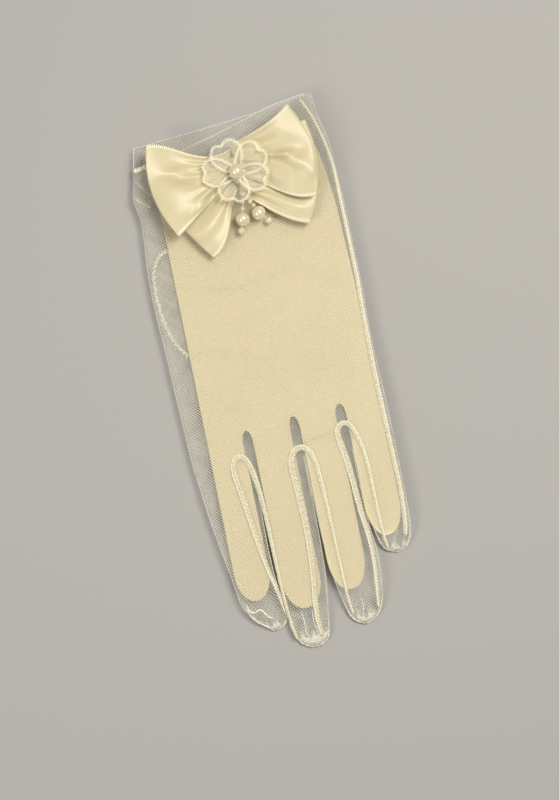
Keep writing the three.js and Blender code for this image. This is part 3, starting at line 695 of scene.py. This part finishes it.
# Seams. Each is a soft roll of net with a stitched line along its outer side. The roll's half
# widths are spread evenly along it; inward and outward are shares of them, to its two sides.
seams = {
    "step": 0.3, "rounds": 24, "inward": 0.6, "rollLift": 0.1, "rollHeight": 0.55, "rollUneven": 0.12,
    "stitch": 1.05, "wave": 0.2, "outward": 0.25, "lift": 0.3, "halfCord": 0.31, "lumps": 0.55,
    "cordHeight": 0.8, "cordUneven": 0.2,
    "columns": ("node", "roll", "points"),
    "rows": {
        "index_middle": ("index_middle_seam", (0.5, 0.8, 1.1, 1.1, 0.7, 0.55, 0.4), [
            (-13.3, -99.0), (-14.4, -92), (-15.6, -86), (-16.9, -81), (-18.2, -74), (-19.4, -66),
            (-20.4, -58), (-21.4, -50), (-22.7, -42), (-23.1, -38), (-22.8, -34.5), (-21.4, -32.2),
            (-19.4, -31.4), (-17.3, -32.2), (-15.8, -34.8), (-14.5, -40), (-13.7, -47), (-13.3, -55),
            (-13.1, -70), (-13.0, -85), (-12.5, -97), (-11.9, -104), (-10.7, -110)]),
        "middle_ring": ("middle_ring_seam", (0.8, 1.1, 1.3, 1.2, 0.65, 0.45, 0.35), [
            (-0.6, -110.5), (-1.5, -103), (-1, -95), (0, -87), (0.8, -78), (1.2, -70), (1.2, -60), (0.8, -50),
            (0.3, -42), (0.5, -38), (1.9, -34.6), (3.6, -33), (5.6, -32.6), (7.8, -33.2), (9.7, -35.2),
            (11.1, -40), (11.7, -50), (12.0, -60), (12.3, -80), (12.5, -90), (12.8, -98), (13.6, -104.5)]),
        "ring_little": ("ring_little_seam", (0.5, 0.7, 1.1, 1.2, 0.75, 0.6, 0.45), [
            (24.3, -103.5), (25, -95), (25.7, -88), (26, -80), (25.5, -72), (24.6, -65), (24, -58),
            (23.6, -50), (22.9, -42), (21.9, -36), (21.2, -31), (21.8, -28.4), (23.2, -26.9), (25, -26.4),
            (27, -27), (28.5, -29), (30, -34), (31.2, -40), (31.7, -50), (31.7, -60), (31.8, -70),
            (32.3, -77), (33, -81)]),
        "side": ("side_seam", (0.3, 0.4, 0.6, 0.8, 0.9, 0.8, 0.7), [
            (33.5, 106), (35.6, 102), (37.6, 97), (38.4, 94), (39.6, 89.5), (41, 83), (41.9, 75), (42.1, 62),
            (42.3, 50), (42.5, 30), (42.1, 15), (41.9, 0), (41.9, -15), (42.2, -30), (42.5, -45), (42.7, -58),
            (42.4, -66), (41.8, -72), (41.0, -77)]),
    },
}


def onBack(path, lift, reach=4):
    # the path raised onto the back net; each height is the mean of those up to reach points away
    inside, top, _ = gloveHeights(path[:, 0], path[:, 1])
    run = np.arange(len(path))
    top = np.interp(run, run[inside], (top + foldHeight(path[:, 0], path[:, 1]))[inside])
    kernel = np.ones(2 * reach + 1) / (2 * reach + 1)
    top = np.convolve(np.pad(top, reach, mode="edge"), kernel, "valid")
    return np.column_stack([path[:, 0], path[:, 1], top + lift])


def taperEnds(count, length):
    # nearly nothing at both ends, whole after a given number of points
    steps = np.arange(count)
    return np.clip(np.minimum(steps, count - 1 - steps) / length, 0.1, 1) ** 0.5


def unevenness(count, step, seed, amount):
    # three waves of unrelated lengths, so that no stretch repeats
    run = np.arange(count) * step + seed * 7.3
    return 1 + amount * (np.sin(run * 2.9) + 0.7 * np.sin(run * 4.7 + 1) + 0.5 * np.sin(run * 1.3 + 2)) / 2


def makeSeam(name, node, roll, points, seed):
    # roll: a low soft tube; stitched line: a thin lumpy cord, waving once a stitch, on its outer side
    path = softPath(points, seams["step"], seams["rounds"])
    count = len(path)
    _, left, _ = pathSides(np.column_stack([path, np.zeros(count)]))
    half = np.interp(np.linspace(0, 1, count), np.linspace(0, 1, len(roll)), roll)
    half = half * unevenness(count, seams["step"], seed, seams["rollUneven"]) * taperEnds(count, 6)
    inner = onBack(path - left[:, :2] * half[:, None] * seams["inward"], seams["rollLift"])
    tall = half[::2] * seams["rollHeight"]
    makeCord(f"{name}_roll", inner[::2], half[::2], tall, "roll", sides=10)
    wave = np.sin(2 * math.pi * (np.arange(count) * seams["step"]) / seams["stitch"])
    aside = half * seams["outward"] + seams["wave"] * wave
    outer = onBack(path + left[:, :2] * aside[:, None], seams["lift"])
    thick = seams["halfCord"] * (1 + seams["lumps"] * wave)
    thick = thick * unevenness(count, seams["step"], seed + 3, seams["cordUneven"]) * taperEnds(count, 4)
    makeCord(f"{name}_stitches", outer, thick, thick * seams["cordHeight"], "cord", node=node)


for seed, (name, row) in enumerate(seams["rows"].items()):
    makeSeam(name, *row, seed)

# Raw cuff edges: a thin line just inside each net's end, between the side folds
cuffEdge = {"left": -36.4, "right": 37.2, "inset": 0.2, "heightInset": 0.6, "wide": 0.11, "tall": 0.1}


def makeCuffEdge(name, table, height, node=None):
    # the table's line, smoothed, kept between left and right, on the net a little further in
    path = softPath(table["rows"], 0.5, 10)
    across = np.clip(path[:, 0], cuffEdge["left"], cuffEdge["right"])
    z = height(across, path[:, 1] - cuffEdge["heightInset"])
    edge = np.column_stack([across, path[:, 1] - cuffEdge["inset"], z])
    makeCord(name, edge, cuffEdge["wide"], cuffEdge["tall"], "tip", sides=6, node=node)


makeCuffEdge("back_cuff_edge", backCuff, backHeight, "hem_seam")
makeCuffEdge("palm_cuff_edge", palmCuff, palmHeight)

# A thick stub of rolled net at the left end of the back's edge
cuffStub = {
    "step": 0.3, "half": 0.95, "flatness": 0.7, "uneven": 0.35, "lift": 0.3,
    "columns": ("across", "along"),
    "rows": [(-38.6, 90.4), (-36.5, 90.2), (-33.5, 91.0), (-30.5, 91.6)],
}
stub = softPath(cuffStub["rows"], cuffStub["step"], 4)
stubHalf = cuffStub["half"] * unevenness(len(stub), cuffStub["step"], 5, cuffStub["uneven"])
stubHalf = stubHalf * taperEnds(len(stub), 4)
stubTall = stubHalf * cuffStub["flatness"]
makeCord("cuff_stub", onBack(stub, cuffStub["lift"]), stubHalf, stubTall, "cord", sides=10)

# Thumb seam: an oval of chain stitches in the palm net
thumbSeam = {
    "across": -27.2, "along": 33.2, "halfWidth": 11.9, "halfLength": 23.0, "height": 3.6, "power": 0.86,
    "lean": -2.3, "points": 1200, "stitches": 96, "wave": 0.016, "lumps": 0.5, "wide": 0.58, "tall": 0.46,
}


def makeThumbSeam():
    # a slightly squared oval, leaning to the left at the cuff's end, waving once every second stitch,
    # as a cord that swells once a stitch
    t = np.linspace(0, 2 * math.pi, thumbSeam["points"], endpoint=False)
    x, y = (np.sign(v) * np.abs(v) ** thumbSeam["power"] for v in (np.cos(t), np.sin(t)))
    wave = 1 + thumbSeam["wave"] * np.sin(thumbSeam["stitches"] / 2 * t)
    across = thumbSeam["across"] + thumbSeam["halfWidth"] * x * wave + thumbSeam["lean"] * y
    along = thumbSeam["along"] + thumbSeam["halfLength"] * y * wave
    path = np.column_stack([across, along, np.full(len(t), thumbSeam["height"])])
    chain = 1 + thumbSeam["lumps"] * np.sin(thumbSeam["stitches"] * t)
    wide, tall = thumbSeam["wide"] * chain, thumbSeam["tall"] * chain
    makeCord("thumb_stitches", path, wide, tall, "cord", closed=True, node="thumb_seam")


makeThumbSeam()

# Finger edges: a fine bright fold down both sides, thick and knotted round the tip
fingerEdge = {
    "inset": 0.2, "belowCrotch": 2, "step": 0.4, "thin": 0.14, "swell": 0.3, "whole": 1.5, "fade": 12,
    "uneven": 0.35, "lowest": 0.5,
}


def makeFingerEdge(name, seed):
    # down one side of the tube and up the other; the swell is whole at the tip and fades away from it
    tube, step = tubes[name], fingerEdge["step"]
    rows = tube["along"] <= crotch - fingerEdge["belowCrotch"]
    sides = [np.column_stack([tube[side][rows] + inward, tube["along"][rows], tube["middle"][rows]])
             for side, inward in (("left", fingerEdge["inset"]), ("right", -fingerEdge["inset"]))]
    path = softPath(np.concatenate([sides[0][::-1], sides[1]]), step, 4)
    fromTip = np.abs(np.arange(len(path)) - np.argmin(path[:, 1])) * step
    swell = np.clip(fingerEdge["whole"] - fromTip / fingerEdge["fade"], 0, 1)
    thick = fingerEdge["thin"] + fingerEdge["swell"] * swell
    thick = thick * unevenness(len(path), step, seed, fingerEdge["uneven"])
    path[:, 2] = np.maximum(path[:, 2], fingerEdge["lowest"])
    makeCord(f"{name}_edge", path, thick, thick, "tip", sides=7)


for seed, name in enumerate(("index", "middle", "ring", "little")):
    makeFingerEdge(name, seed)

# Side folds of the palm: where back and palm nets meet, a fine bright line
sideFolds = {
    "half": 0.12,
    "columns": ("side", "inward", "end"),
    "rows": [("left", 0.15, 99.8), ("right", -0.15, 106.8)],
}
for side, inward, end in sideFolds["rows"]:
    tube = tubes["palm"]
    rows = tube["along"] <= end
    fold = np.column_stack([tube[side][rows] + inward, tube["along"][rows], tube["middle"][rows]])
    path = softPath(fold, 0.6, 2)
    makeCord(f"{side}_fold", path, sideFolds["half"], sideFolds["half"], "tip", sides=6)

# Loose rolled folds of net at the fingertips
tipFolds = {
    "step": 0.3, "uneven": 0.4, "flatness": 0.9, "lift": 0.15,
    "columns": ("half", "points"),
    "rows": {
        "index_crumple": (0.27, [(-28.6, -91.5), (-27.6, -95), (-25.6, -95.8), (-23.6, -94.6), (-22.2, -95.6),
                                 (-20.8, -98.4), (-18.2, -99.6)]),
        "index_gather": (0.2, [(-28.9, -92.6), (-27.7, -97), (-25.2, -100.2), (-21.6, -102.6),
                               (-19.4, -103.6)]),
        "middle_gather_left": (0.18, [(-7.2, -98.6), (-6.6, -103), (-6.8, -107.5), (-5.0, -111.5)]),
        "middle_gather_right": (0.16, [(-2.6, -99.2), (-3.0, -104), (-1.8, -109), (-1.0, -112.4)]),
        "ring_gather": (0.15, [(17.5, -97.0), (18.4, -101), (17.6, -105.6)]),
        "little_gather": (0.14, [(36.4, -76.0), (36.0, -79.0), (36.6, -81.6)]),
    },
}
for seed, (name, (half, points)) in enumerate(tipFolds["rows"].items()):
    path = softPath(points, tipFolds["step"], 6)
    thick = half * unevenness(len(path), tipFolds["step"], seed, tipFolds["uneven"]) * taperEnds(len(path), 8)
    makeCord(name, onBack(path, tipFolds["lift"]), thick, thick * tipFolds["flatness"], "tip")
print("seams made")

# Satin bow of one ribbon in four loops
bow = {
    "across": 2.3, "along": 82.0, "floor": 8.75, "ribbon": 38.0, "thickness": 0.32,
    "pinch": 1.25, "opening": 4.2, "alongSteps": 110, "acrossSteps": 64,
    "roundness": 0.7, "pleatRise": 0.6, "pleatPlace": 0.17, "waveRise": 0.25,
    "knot": {"halfWidth": 1.75, "halfLength": 5.6, "lift": 2.4, "halfHeight": 2.4, "square": 0.6},
}

# Loops. Rows: share of the way out, then the lower and the upper selvedge from the bow's middle.
# Folds: from and to, as shares out and across, then rise and spread.
loops = {
    "left_upper": {
        "layer": 1, "belly": 4.4, "tilt": 0.6, "pleats": 20, "gather": 0.28,
        "rows": [(0, -2.6, -4.0, -0.3, 8.7), (0.33, -11.3, -10.3, -12.4, 8.0),
                 (0.66, -20.0, -16.9, -23.2, 13.2), (1, -27.3, -22.2, -33.0, 16.4)],
        "folds": [(0.6, 0.2, 0.68, 0.32, -2.35, 0.17), (0.34, 0.0, 0.5, 0.0, -0.8, 0.12),
                  (0.28, -0.5, 0.5, -0.86, 1.8, 0.13), (0.9, 0.55, 1.0, 0.9, -1.8, 0.4),
                  (0.25, -1.0, 1.0, -1.0, -1.4, 0.25)],
    },
    "left_lower": {
        "layer": 0, "belly": 1.6, "tilt": 0.0, "pleats": 22, "gather": 0.22,
        "rows": [(0, -0.4, -8.0, -2.9, 1.0), (0.33, -4.8, -16.0, -12.8, 1.0),
                 (0.66, -8.3, -25.4, -23.3, 0.0), (1, -15.3, -33.0, -33.3, -1.5)],
        "folds": [(0.3, -0.55, 0.95, -0.4, 1.3, 0.2), (0.5, -0.05, 0.8, 0.1, -0.9, 0.2)],
    },
    "right_upper": {
        "layer": 1, "belly": 4.6, "tilt": 0.6, "pleats": 15, "gather": 0.17,
        "rows": [(0, 2.9, -3.4, -0.75, 10.6), (0.33, 11.2, -8.5, 9.6, 13.2),
                 (0.66, 19.7, -14.5, 18.2, 16.5), (1, 29.7, -16.8, 25.7, 21.5)],
        "folds": [(0.34, 0.14, 0.66, 0.04, 1.2, 0.08), (0.66, 0.04, 0.97, -0.52, 1.7, 0.11),
                  (0.5, 0.44, 0.86, 0.1, -1.4, 0.2), (0.5, -0.16, 0.74, -0.4, -1.1, 0.22),
                  (0.3, 0.72, 0.55, 0.8, 0.6, 0.15), (0.2, -1.0, 1.0, -1.0, -2.7, 0.4)],
    },
    "right_lower": {
        "layer": 0, "belly": 4.6, "tilt": 0.0, "pleats": 20, "gather": 0.19,
        "rows": [(0, -0.2, -9.5, 2.9, 2.0), (0.33, 8.2, -16.4, 11.7, 8.0),
                 (0.66, 16.2, -22.8, 21.7, 12.0), (1, 25.2, -27.0, 31.7, 14.5)],
        "folds": [(0.25, -0.62, 0.8, -0.7, 1.5, 0.16), (0.8, -0.5, 0.95, -0.3, -0.8, 0.2)],
    },
}


def smooth(t):
    # from 0 to 1 with level ends
    t = np.clip(t, 0, 1)
    return t * t * (3 - 2 * t)


def opening(out):
    # how far a loop's two layers stand apart: the pinch at the knot, then the full opening
    return bow["pinch"] + (bow["opening"] - bow["pinch"]) * smooth((out - 0.1) * 1.3)


def loopGrid(loop):
    # along: out from the knot, round the fold and back, out and height as powers of sine and cosine;
    # across: from the lower selvedge to the upper; every fold is a bell-shaped ridge on the top layer
    angle = np.linspace(0, math.pi, bow["alongSteps"])[:, None]
    across = np.linspace(-1, 1, bow["acrossSteps"])[None]
    out = np.abs(np.sin(angle)) ** bow["roundness"]
    height = 0.5 - 0.5 * np.sign(np.cos(angle)) * np.abs(np.cos(angle)) ** bow["roundness"]
    rows = np.array(loop["rows"])
    lowX, lowY, highX, highY = (np.polyval(np.polyfit(rows[:, 0], rows[:, k], 3), out) for k in range(1, 5))
    width = np.hypot(highX - lowX, highY - lowY)
    side = math.copysign(1, rows[-1, 1])
    belly = loop["belly"] * (1 - across * across) * out * out * side / width
    share = (across + 1) / 2
    x = lowX + (highX - lowX) * share + (highY - lowY) * belly
    y = lowY + (highY - lowY) * share - (highX - lowX) * belly
    top = smooth(height * 2 - 1)
    z = bow["floor"] + loop["layer"] * (bow["pinch"] + opening(np.minimum(1, out * 1.2)))
    z = z + height * opening(out)
    z = z - loop["tilt"] * out * smooth(across)
    gathered = np.exp(-((out - bow["pleatPlace"]) / loop["gather"]) ** 2)
    z = z + bow["pleatRise"] * (1 + np.cos(across * loop["pleats"])) * gathered
    z = z + bow["waveRise"] * np.sin(across * 3.1 + out * 2.3 + loop["layer"] * 2) * out * top
    for out0, across0, out1, across1, rise, spread in loop["folds"]:
        du, dv = out1 - out0, across1 - across0
        t = np.clip(((out - out0) * du + (across - across0) * dv) / (du * du + dv * dv), 0, 1)
        away = (out - out0 - t * du) ** 2 + (across - across0 - t * dv) ** 2
        z = z + rise * np.exp(-away / spread ** 2) * top * np.clip(out * 3, 0, 1)
    return np.stack([bow["across"] + x, bow["along"] + y, z], axis=-1)


def gridArea(grid):
    # half the cross product of each cell's diagonals
    one, two = grid[1:, 1:] - grid[:-1, :-1], grid[1:, :-1] - grid[:-1, 1:]
    return np.linalg.norm(np.cross(one, two), axis=-1).sum() / 2


def addWall(piece, thickness):
    # the sheet gets a wall, half of it to each side
    wall = piece.modifiers.new("Wall", "SOLIDIFY")
    wall.thickness = thickness * mm
    wall.offset = 0


def makeLoop(name, loop):
    # the sheet's length is measured along its middle; its pattern runs by real length along the strip
    grid = loopGrid(loop)
    rows, columns = grid.shape[:2]
    run = np.concatenate([[0], np.cumsum(np.linalg.norm(np.diff(grid[:, columns // 2], axis=0), axis=1))])
    along, across = np.meshgrid(run / bow["ribbon"], np.linspace(0, 1, columns), indexing="ij")
    shares = np.stack([along, across], axis=-1).reshape(-1, 2)
    faces = gridFaces(rows, columns).tolist()
    node = f"{name}_bow_loop"
    ribbon = makePiece(f"{name}_ribbon", grid.reshape(-1, 3), faces, "satin", shares, node=node)
    addWall(ribbon, bow["thickness"])
    areaShare = gridArea(grid) / (bow["ribbon"] * run[-1])
    print(name, "strip", round(run[-1], 1), "mm, area share", round(areaShare, 2))


for name, loop in loops.items():
    makeLoop(name, loop)


def knotGrid(rows=15, sides=24):
    # rings of a squared ellipse along the knot, drawn in at both ends
    knot = bow["knot"]
    t = np.linspace(-1, 1, rows)[:, None]
    turn = np.linspace(0, 2 * math.pi, sides, endpoint=False)[None]
    draw = np.sqrt(np.maximum(0.02, 1 - t ** 4))
    x, z = (draw * np.sign(v) * np.abs(v) ** knot["square"] for v in (np.cos(turn), np.sin(turn)))
    return np.stack([bow["across"] + knot["halfWidth"] * x, bow["along"] + t * knot["halfLength"] + 0 * x,
                     bow["floor"] + knot["lift"] + knot["halfHeight"] * z], axis=-1)


def makeKnot():
    # the grid closed round each ring and capped at both ends
    grid = knotGrid()
    rows, columns = grid.shape[:2]
    ends = [list(range(columns)), list(range((rows - 1) * columns, rows * columns))[::-1]]
    faces = gridFaces(rows, columns, wrap=True).tolist() + ends
    shares = gridShares(rows, columns)
    makePiece("ribbon_knot", grid.reshape(-1, 3), faces, "satin", shares, node="bow_knot")


makeKnot()
print("bow made")

# Lace flower: five sheer petals with a corded, picot-edged rim. Lengths and half widths are
# shares of the flower's radius; the ring lies round the pearl.
flower = {
    "across": 2.8, "along": 80.7, "base": 14.6, "radius": 13.2, "lift": 2.6, "ruffle": 0.4, "wall": 0.1,
    "outSteps": 18, "acrossSteps": 28, "rimStep": 0.12, "rimOut": 30, "rimAcross": 60,
    "cord": 0.12, "lumps": 0.3, "uneven": 0.15, "picot": 0.15, "tooth": 1.0, "spacing": 0.95,
    "columns": ("angle", "length", "half"),
    "petals": [(34.5, 1.02, 0.44), (109, 0.98, 0.46), (171, 1.02, 0.40), (251, 0.88, 0.44),
               (334, 0.93, 0.38)],
    "ring": {"points": 120, "radius": 2.9, "wave": 0.35, "scallops": 9, "lift": 0.7, "half": 0.28},
}


def petalPoint(petal, t, w):
    # t runs out along the petal, w across it; the rim has two lobes with a notch between them
    angle, length, half = petal
    turn = math.radians(angle)
    lobes = 1 - 0.3 * w ** 4 - 0.1 * np.exp(-((w / 0.28) ** 2))
    out = (0.1 + 0.9 * t) * length * flower["radius"] * lobes
    aside = w * half * flower["radius"] * (0.34 + 0.66 * np.sin(t * math.pi / 2))
    lift = flower["lift"] * t ** 1.5 + flower["ruffle"] * t * t * np.cos(2 * math.pi * w + angle)
    return np.stack([flower["across"] + out * math.cos(turn) - aside * math.sin(turn),
                     flower["along"] + out * math.sin(turn) + aside * math.cos(turn),
                     flower["base"] + lift + 0 * w], axis=-1)


def petalRim(petal):
    # out along one side, round both lobes and back along the other
    rise = np.linspace(0.12, 1, flower["rimOut"])
    across = np.linspace(-1, 1, flower["rimAcross"])[1:-1]
    t = np.concatenate([rise, np.ones(len(across)), rise[::-1]])
    w = np.concatenate([-np.ones(len(rise)), across, np.ones(len(rise))])
    return petalPoint(petal, t, w)


def makePetal(name, petal):
    # the sheet is petalPoint over a grid; its flat size is the petal's width and length
    rows, columns = flower["outSteps"], flower["acrossSteps"]
    t, w = np.meshgrid(np.linspace(0, 1, rows), np.linspace(-1, 1, columns), indexing="ij")
    grid = petalPoint(petal, t, w)
    faces = gridFaces(rows, columns).tolist()
    sheer = makePiece(name, grid.reshape(-1, 3), faces, "petal", gridShares(rows, columns))
    addWall(sheer, flower["wall"])
    flat = (2 * petal[2] * flower["radius"] * mm, petal[1] * flower["radius"] * mm)


def makeRim(name, petal, seed, node=None):
    # a lumpy cord along the rim, and another that runs out and back once a picot
    step = flower["rimStep"]
    rim = softPath(petalRim(petal), step, 6)
    wave = np.sin(2 * math.pi * (np.arange(len(rim)) * step) / flower["spacing"])
    lumps = flower["cord"] * (1 + flower["lumps"] * wave) * unevenness(len(rim), step, seed, flower["uneven"])
    makeCord(f"{name}_cord", rim[::2], lumps[::2], lumps[::2], "lace", sides=7, node=node)
    _, left, _ = pathSides(rim)
    tooth = flower["tooth"] * (0.5 + 0.5 * wave)
    picots = rim - left * tooth[:, None]
    makeCord(f"{name}_picots", picots, flower["picot"], flower["picot"], "lace", sides=5)


def makeCentreRing():
    # a circle whose radius waves once a scallop
    ring = flower["ring"]
    t = np.linspace(0, 2 * math.pi, ring["points"], endpoint=False)
    r = ring["radius"] + ring["wave"] * np.cos(ring["scallops"] * t)
    height = np.full(len(t), flower["base"] + ring["lift"])
    path = np.column_stack([flower["across"] + r * np.cos(t), flower["along"] + r * np.sin(t), height])
    makeCord("flower_centre_ring", path, ring["half"], ring["half"], "lace", closed=True)


for k, petal in enumerate(flower["petals"]):
    makePetal(f"petal_{k + 1}", petal)
    makeRim(f"petal_{k + 1}", petal, k, "lace_flower" if k == 0 else None)
makeCentreRing()
print("flower made")

# Pearls and clear beads, as across, along, height, radius, finish and the node that each stands
# for, and the strands of small beads that the two drops hang on
beads = {
    "pearl_centre": (2.8, 80.7, 18.7, 3.0, "pearl", "centre_pearl"),
    "pearl_left": (1.45, 62.0, 11.4, 2.95, "pearl", "left_drop_pearl"),
    "pearl_right": (8.3, 63.2, 11.4, 2.9, "pearl", "right_drop_pearl"),
    "bead_left": (0.1, 57.5, 9.9, 1.6, "glass", "left_drop_bead"),
    "bead_right": (11.8, 59.6, 9.9, 1.5, "glass", "right_drop_bead"),
}
strands = {
    "columns": ("across", "along", "height", "radius"), "halfString": 0.13, "rings": 12, "sides": 16,
    "left": [(3.3, 71.4, 13.4, 0.5), (3.1, 69.9, 13.0, 0.6), (2.8, 68.1, 12.6, 0.55),
             (2.3, 66.2, 12.1, 0.75)],
    "right": [(3.6, 71.6, 13.9, 0.9), (4.7, 70.0, 13.5, 1.0), (5.8, 68.3, 13.0, 1.05),
              (6.8, 66.6, 12.5, 0.9)],
}


def makeBead(name, x, y, z, radius, finish, node=None, rings=24, sides=36):
    # rings from pole to pole, closed by a point at each
    polar = np.linspace(0, math.pi, rings + 1)[1:-1][:, None]
    turn = np.linspace(0, 2 * math.pi, sides, endpoint=False)[None]
    ball = [np.sin(polar) * np.cos(turn), np.sin(polar) * np.sin(turn), np.cos(polar) + 0 * turn]
    ball = np.stack(ball, axis=-1).reshape(-1, 3)
    points = np.concatenate([ball, [[0, 0, 1], [0, 0, -1]]]) * radius + [x, y, z]
    j = np.arange(sides)
    k = (j + 1) % sides
    top, bottom, last = (rings - 1) * sides, (rings - 1) * sides + 1, (rings - 2) * sides
    caps = [np.stack([j, k, 0 * j + top], axis=1), np.stack([last + k, last + j, 0 * j + bottom], axis=1)]
    faces = gridFaces(rings - 1, sides, wrap=True).tolist() + np.concatenate(caps).tolist()
    return makePiece(name, points, faces, finish, node=node)


for name, (x, y, z, radius, finish, node) in beads.items():
    makeBead(name, x, y, z, radius, finish, node)
for side in ("left", "right"):
    for k, row in enumerate(strands[side]):
        makeBead(f"seed_{side}_{k + 1}", *row, "glass", rings=strands["rings"], sides=strands["sides"])
    string = [row[:3] for row in strands[side]] + [beads[f"pearl_{side}"][:3], beads[f"bead_{side}"][:3]]
    half = strands["halfString"]
    makeCord(f"string_{side}", evenPath(string, 0.5), half, half, "lace", sides=6)
print("pearls made")

# Table, lamps and camera
studio = {
    "table": tint(172, 170, 166), "tableHalf": 1.5, "sky": (1.0, 0.985, 0.95, 1.0), "skyStrength": 0.31,
    "roll": -11.5, "aim": (0.0, -9.7), "distance": 0.9, "tall": 0.3256, "sensor": 36, "gloveMiddle": 0.006,
    "columns": ("name", "right", "up", "height", "size", "power", "shade"),
    "lamps": [("keyLamp", 0.28, 0.26, 0.86, 0.34, 6.8, (1.0, 0.97, 0.92)),
              ("fillLamp", -0.5, -0.3, 0.7, 0.36, 2.4, (1.0, 0.985, 0.96))],
}


def addLamp(name, right, up, height, size, power, shade):
    # a square lamp, placed by directions in the picture and turned to the glove
    a = math.radians(-studio["roll"])
    x, y = right * math.cos(a) + up * math.sin(a), up * math.cos(a) - right * math.sin(a)
    lamp = bpy.data.lights.new(name, "AREA")
    lamp.energy = power
    lamp.size = size
    lamp.color = shade
    holder = bpy.data.objects.new(name, lamp)
    holder.location = (x, y, height)
    holder.rotation_euler = (math.atan2(math.hypot(x, y), height), 0, math.atan2(y, x) + math.pi / 2)
    bpy.context.scene.collection.objects.link(holder)


def makeTable():
    # a plain square that the glove lies on
    half = studio["tableHalf"]
    corners = [(-half, -half, 0), (half, -half, 0), (half, half, 0), (-half, half, 0)]
    mesh = bpy.data.meshes.new("table_top")
    mesh.from_pydata(corners, [], [(0, 1, 2, 3)])
    look = Finish("paleTable", Base_Color=studio["table"], Roughness=0.9)
    look.bump(look.noise(look.place(), 300.0), 0.05, 0.0001)
    mesh.materials.append(look.material)
    table = bpy.data.objects.new("table_top", mesh)
    bpy.context.scene.collection.objects.link(table)


def setSky():
    # soft light from all sides
    sky = bpy.data.worlds.new("softSky")
    bpy.context.scene.world = sky
    sky.use_nodes = True
    background = sky.node_tree.nodes["Background"]
    background.inputs[0].default_value = studio["sky"]
    background.inputs[1].default_value = studio["skyStrength"]


def addCamera():
    # straight above, turned as the photograph is, its lens set so that the picture is as tall as named
    camera = bpy.data.cameras.new("topCamera")
    camera.sensor_fit = "VERTICAL"
    camera.sensor_height = studio["sensor"]
    camera.lens = studio["sensor"] * studio["distance"] / studio["tall"]
    eye = bpy.data.objects.new("topCamera", camera)
    x, y = studio["aim"]
    eye.location = (x * mm, y * mm, studio["distance"] + studio["gloveMiddle"])
    eye.rotation_euler = (0, 0, math.radians(studio["roll"]))
    bpy.context.scene.collection.objects.link(eye)
    bpy.context.scene.camera = eye


makeTable()
setSky()
for lamp in studio["lamps"]:
    addLamp(*lamp)
addCamera()
bpy.context.scene.view_settings.view_transform = "Standard"


print("scene ready")
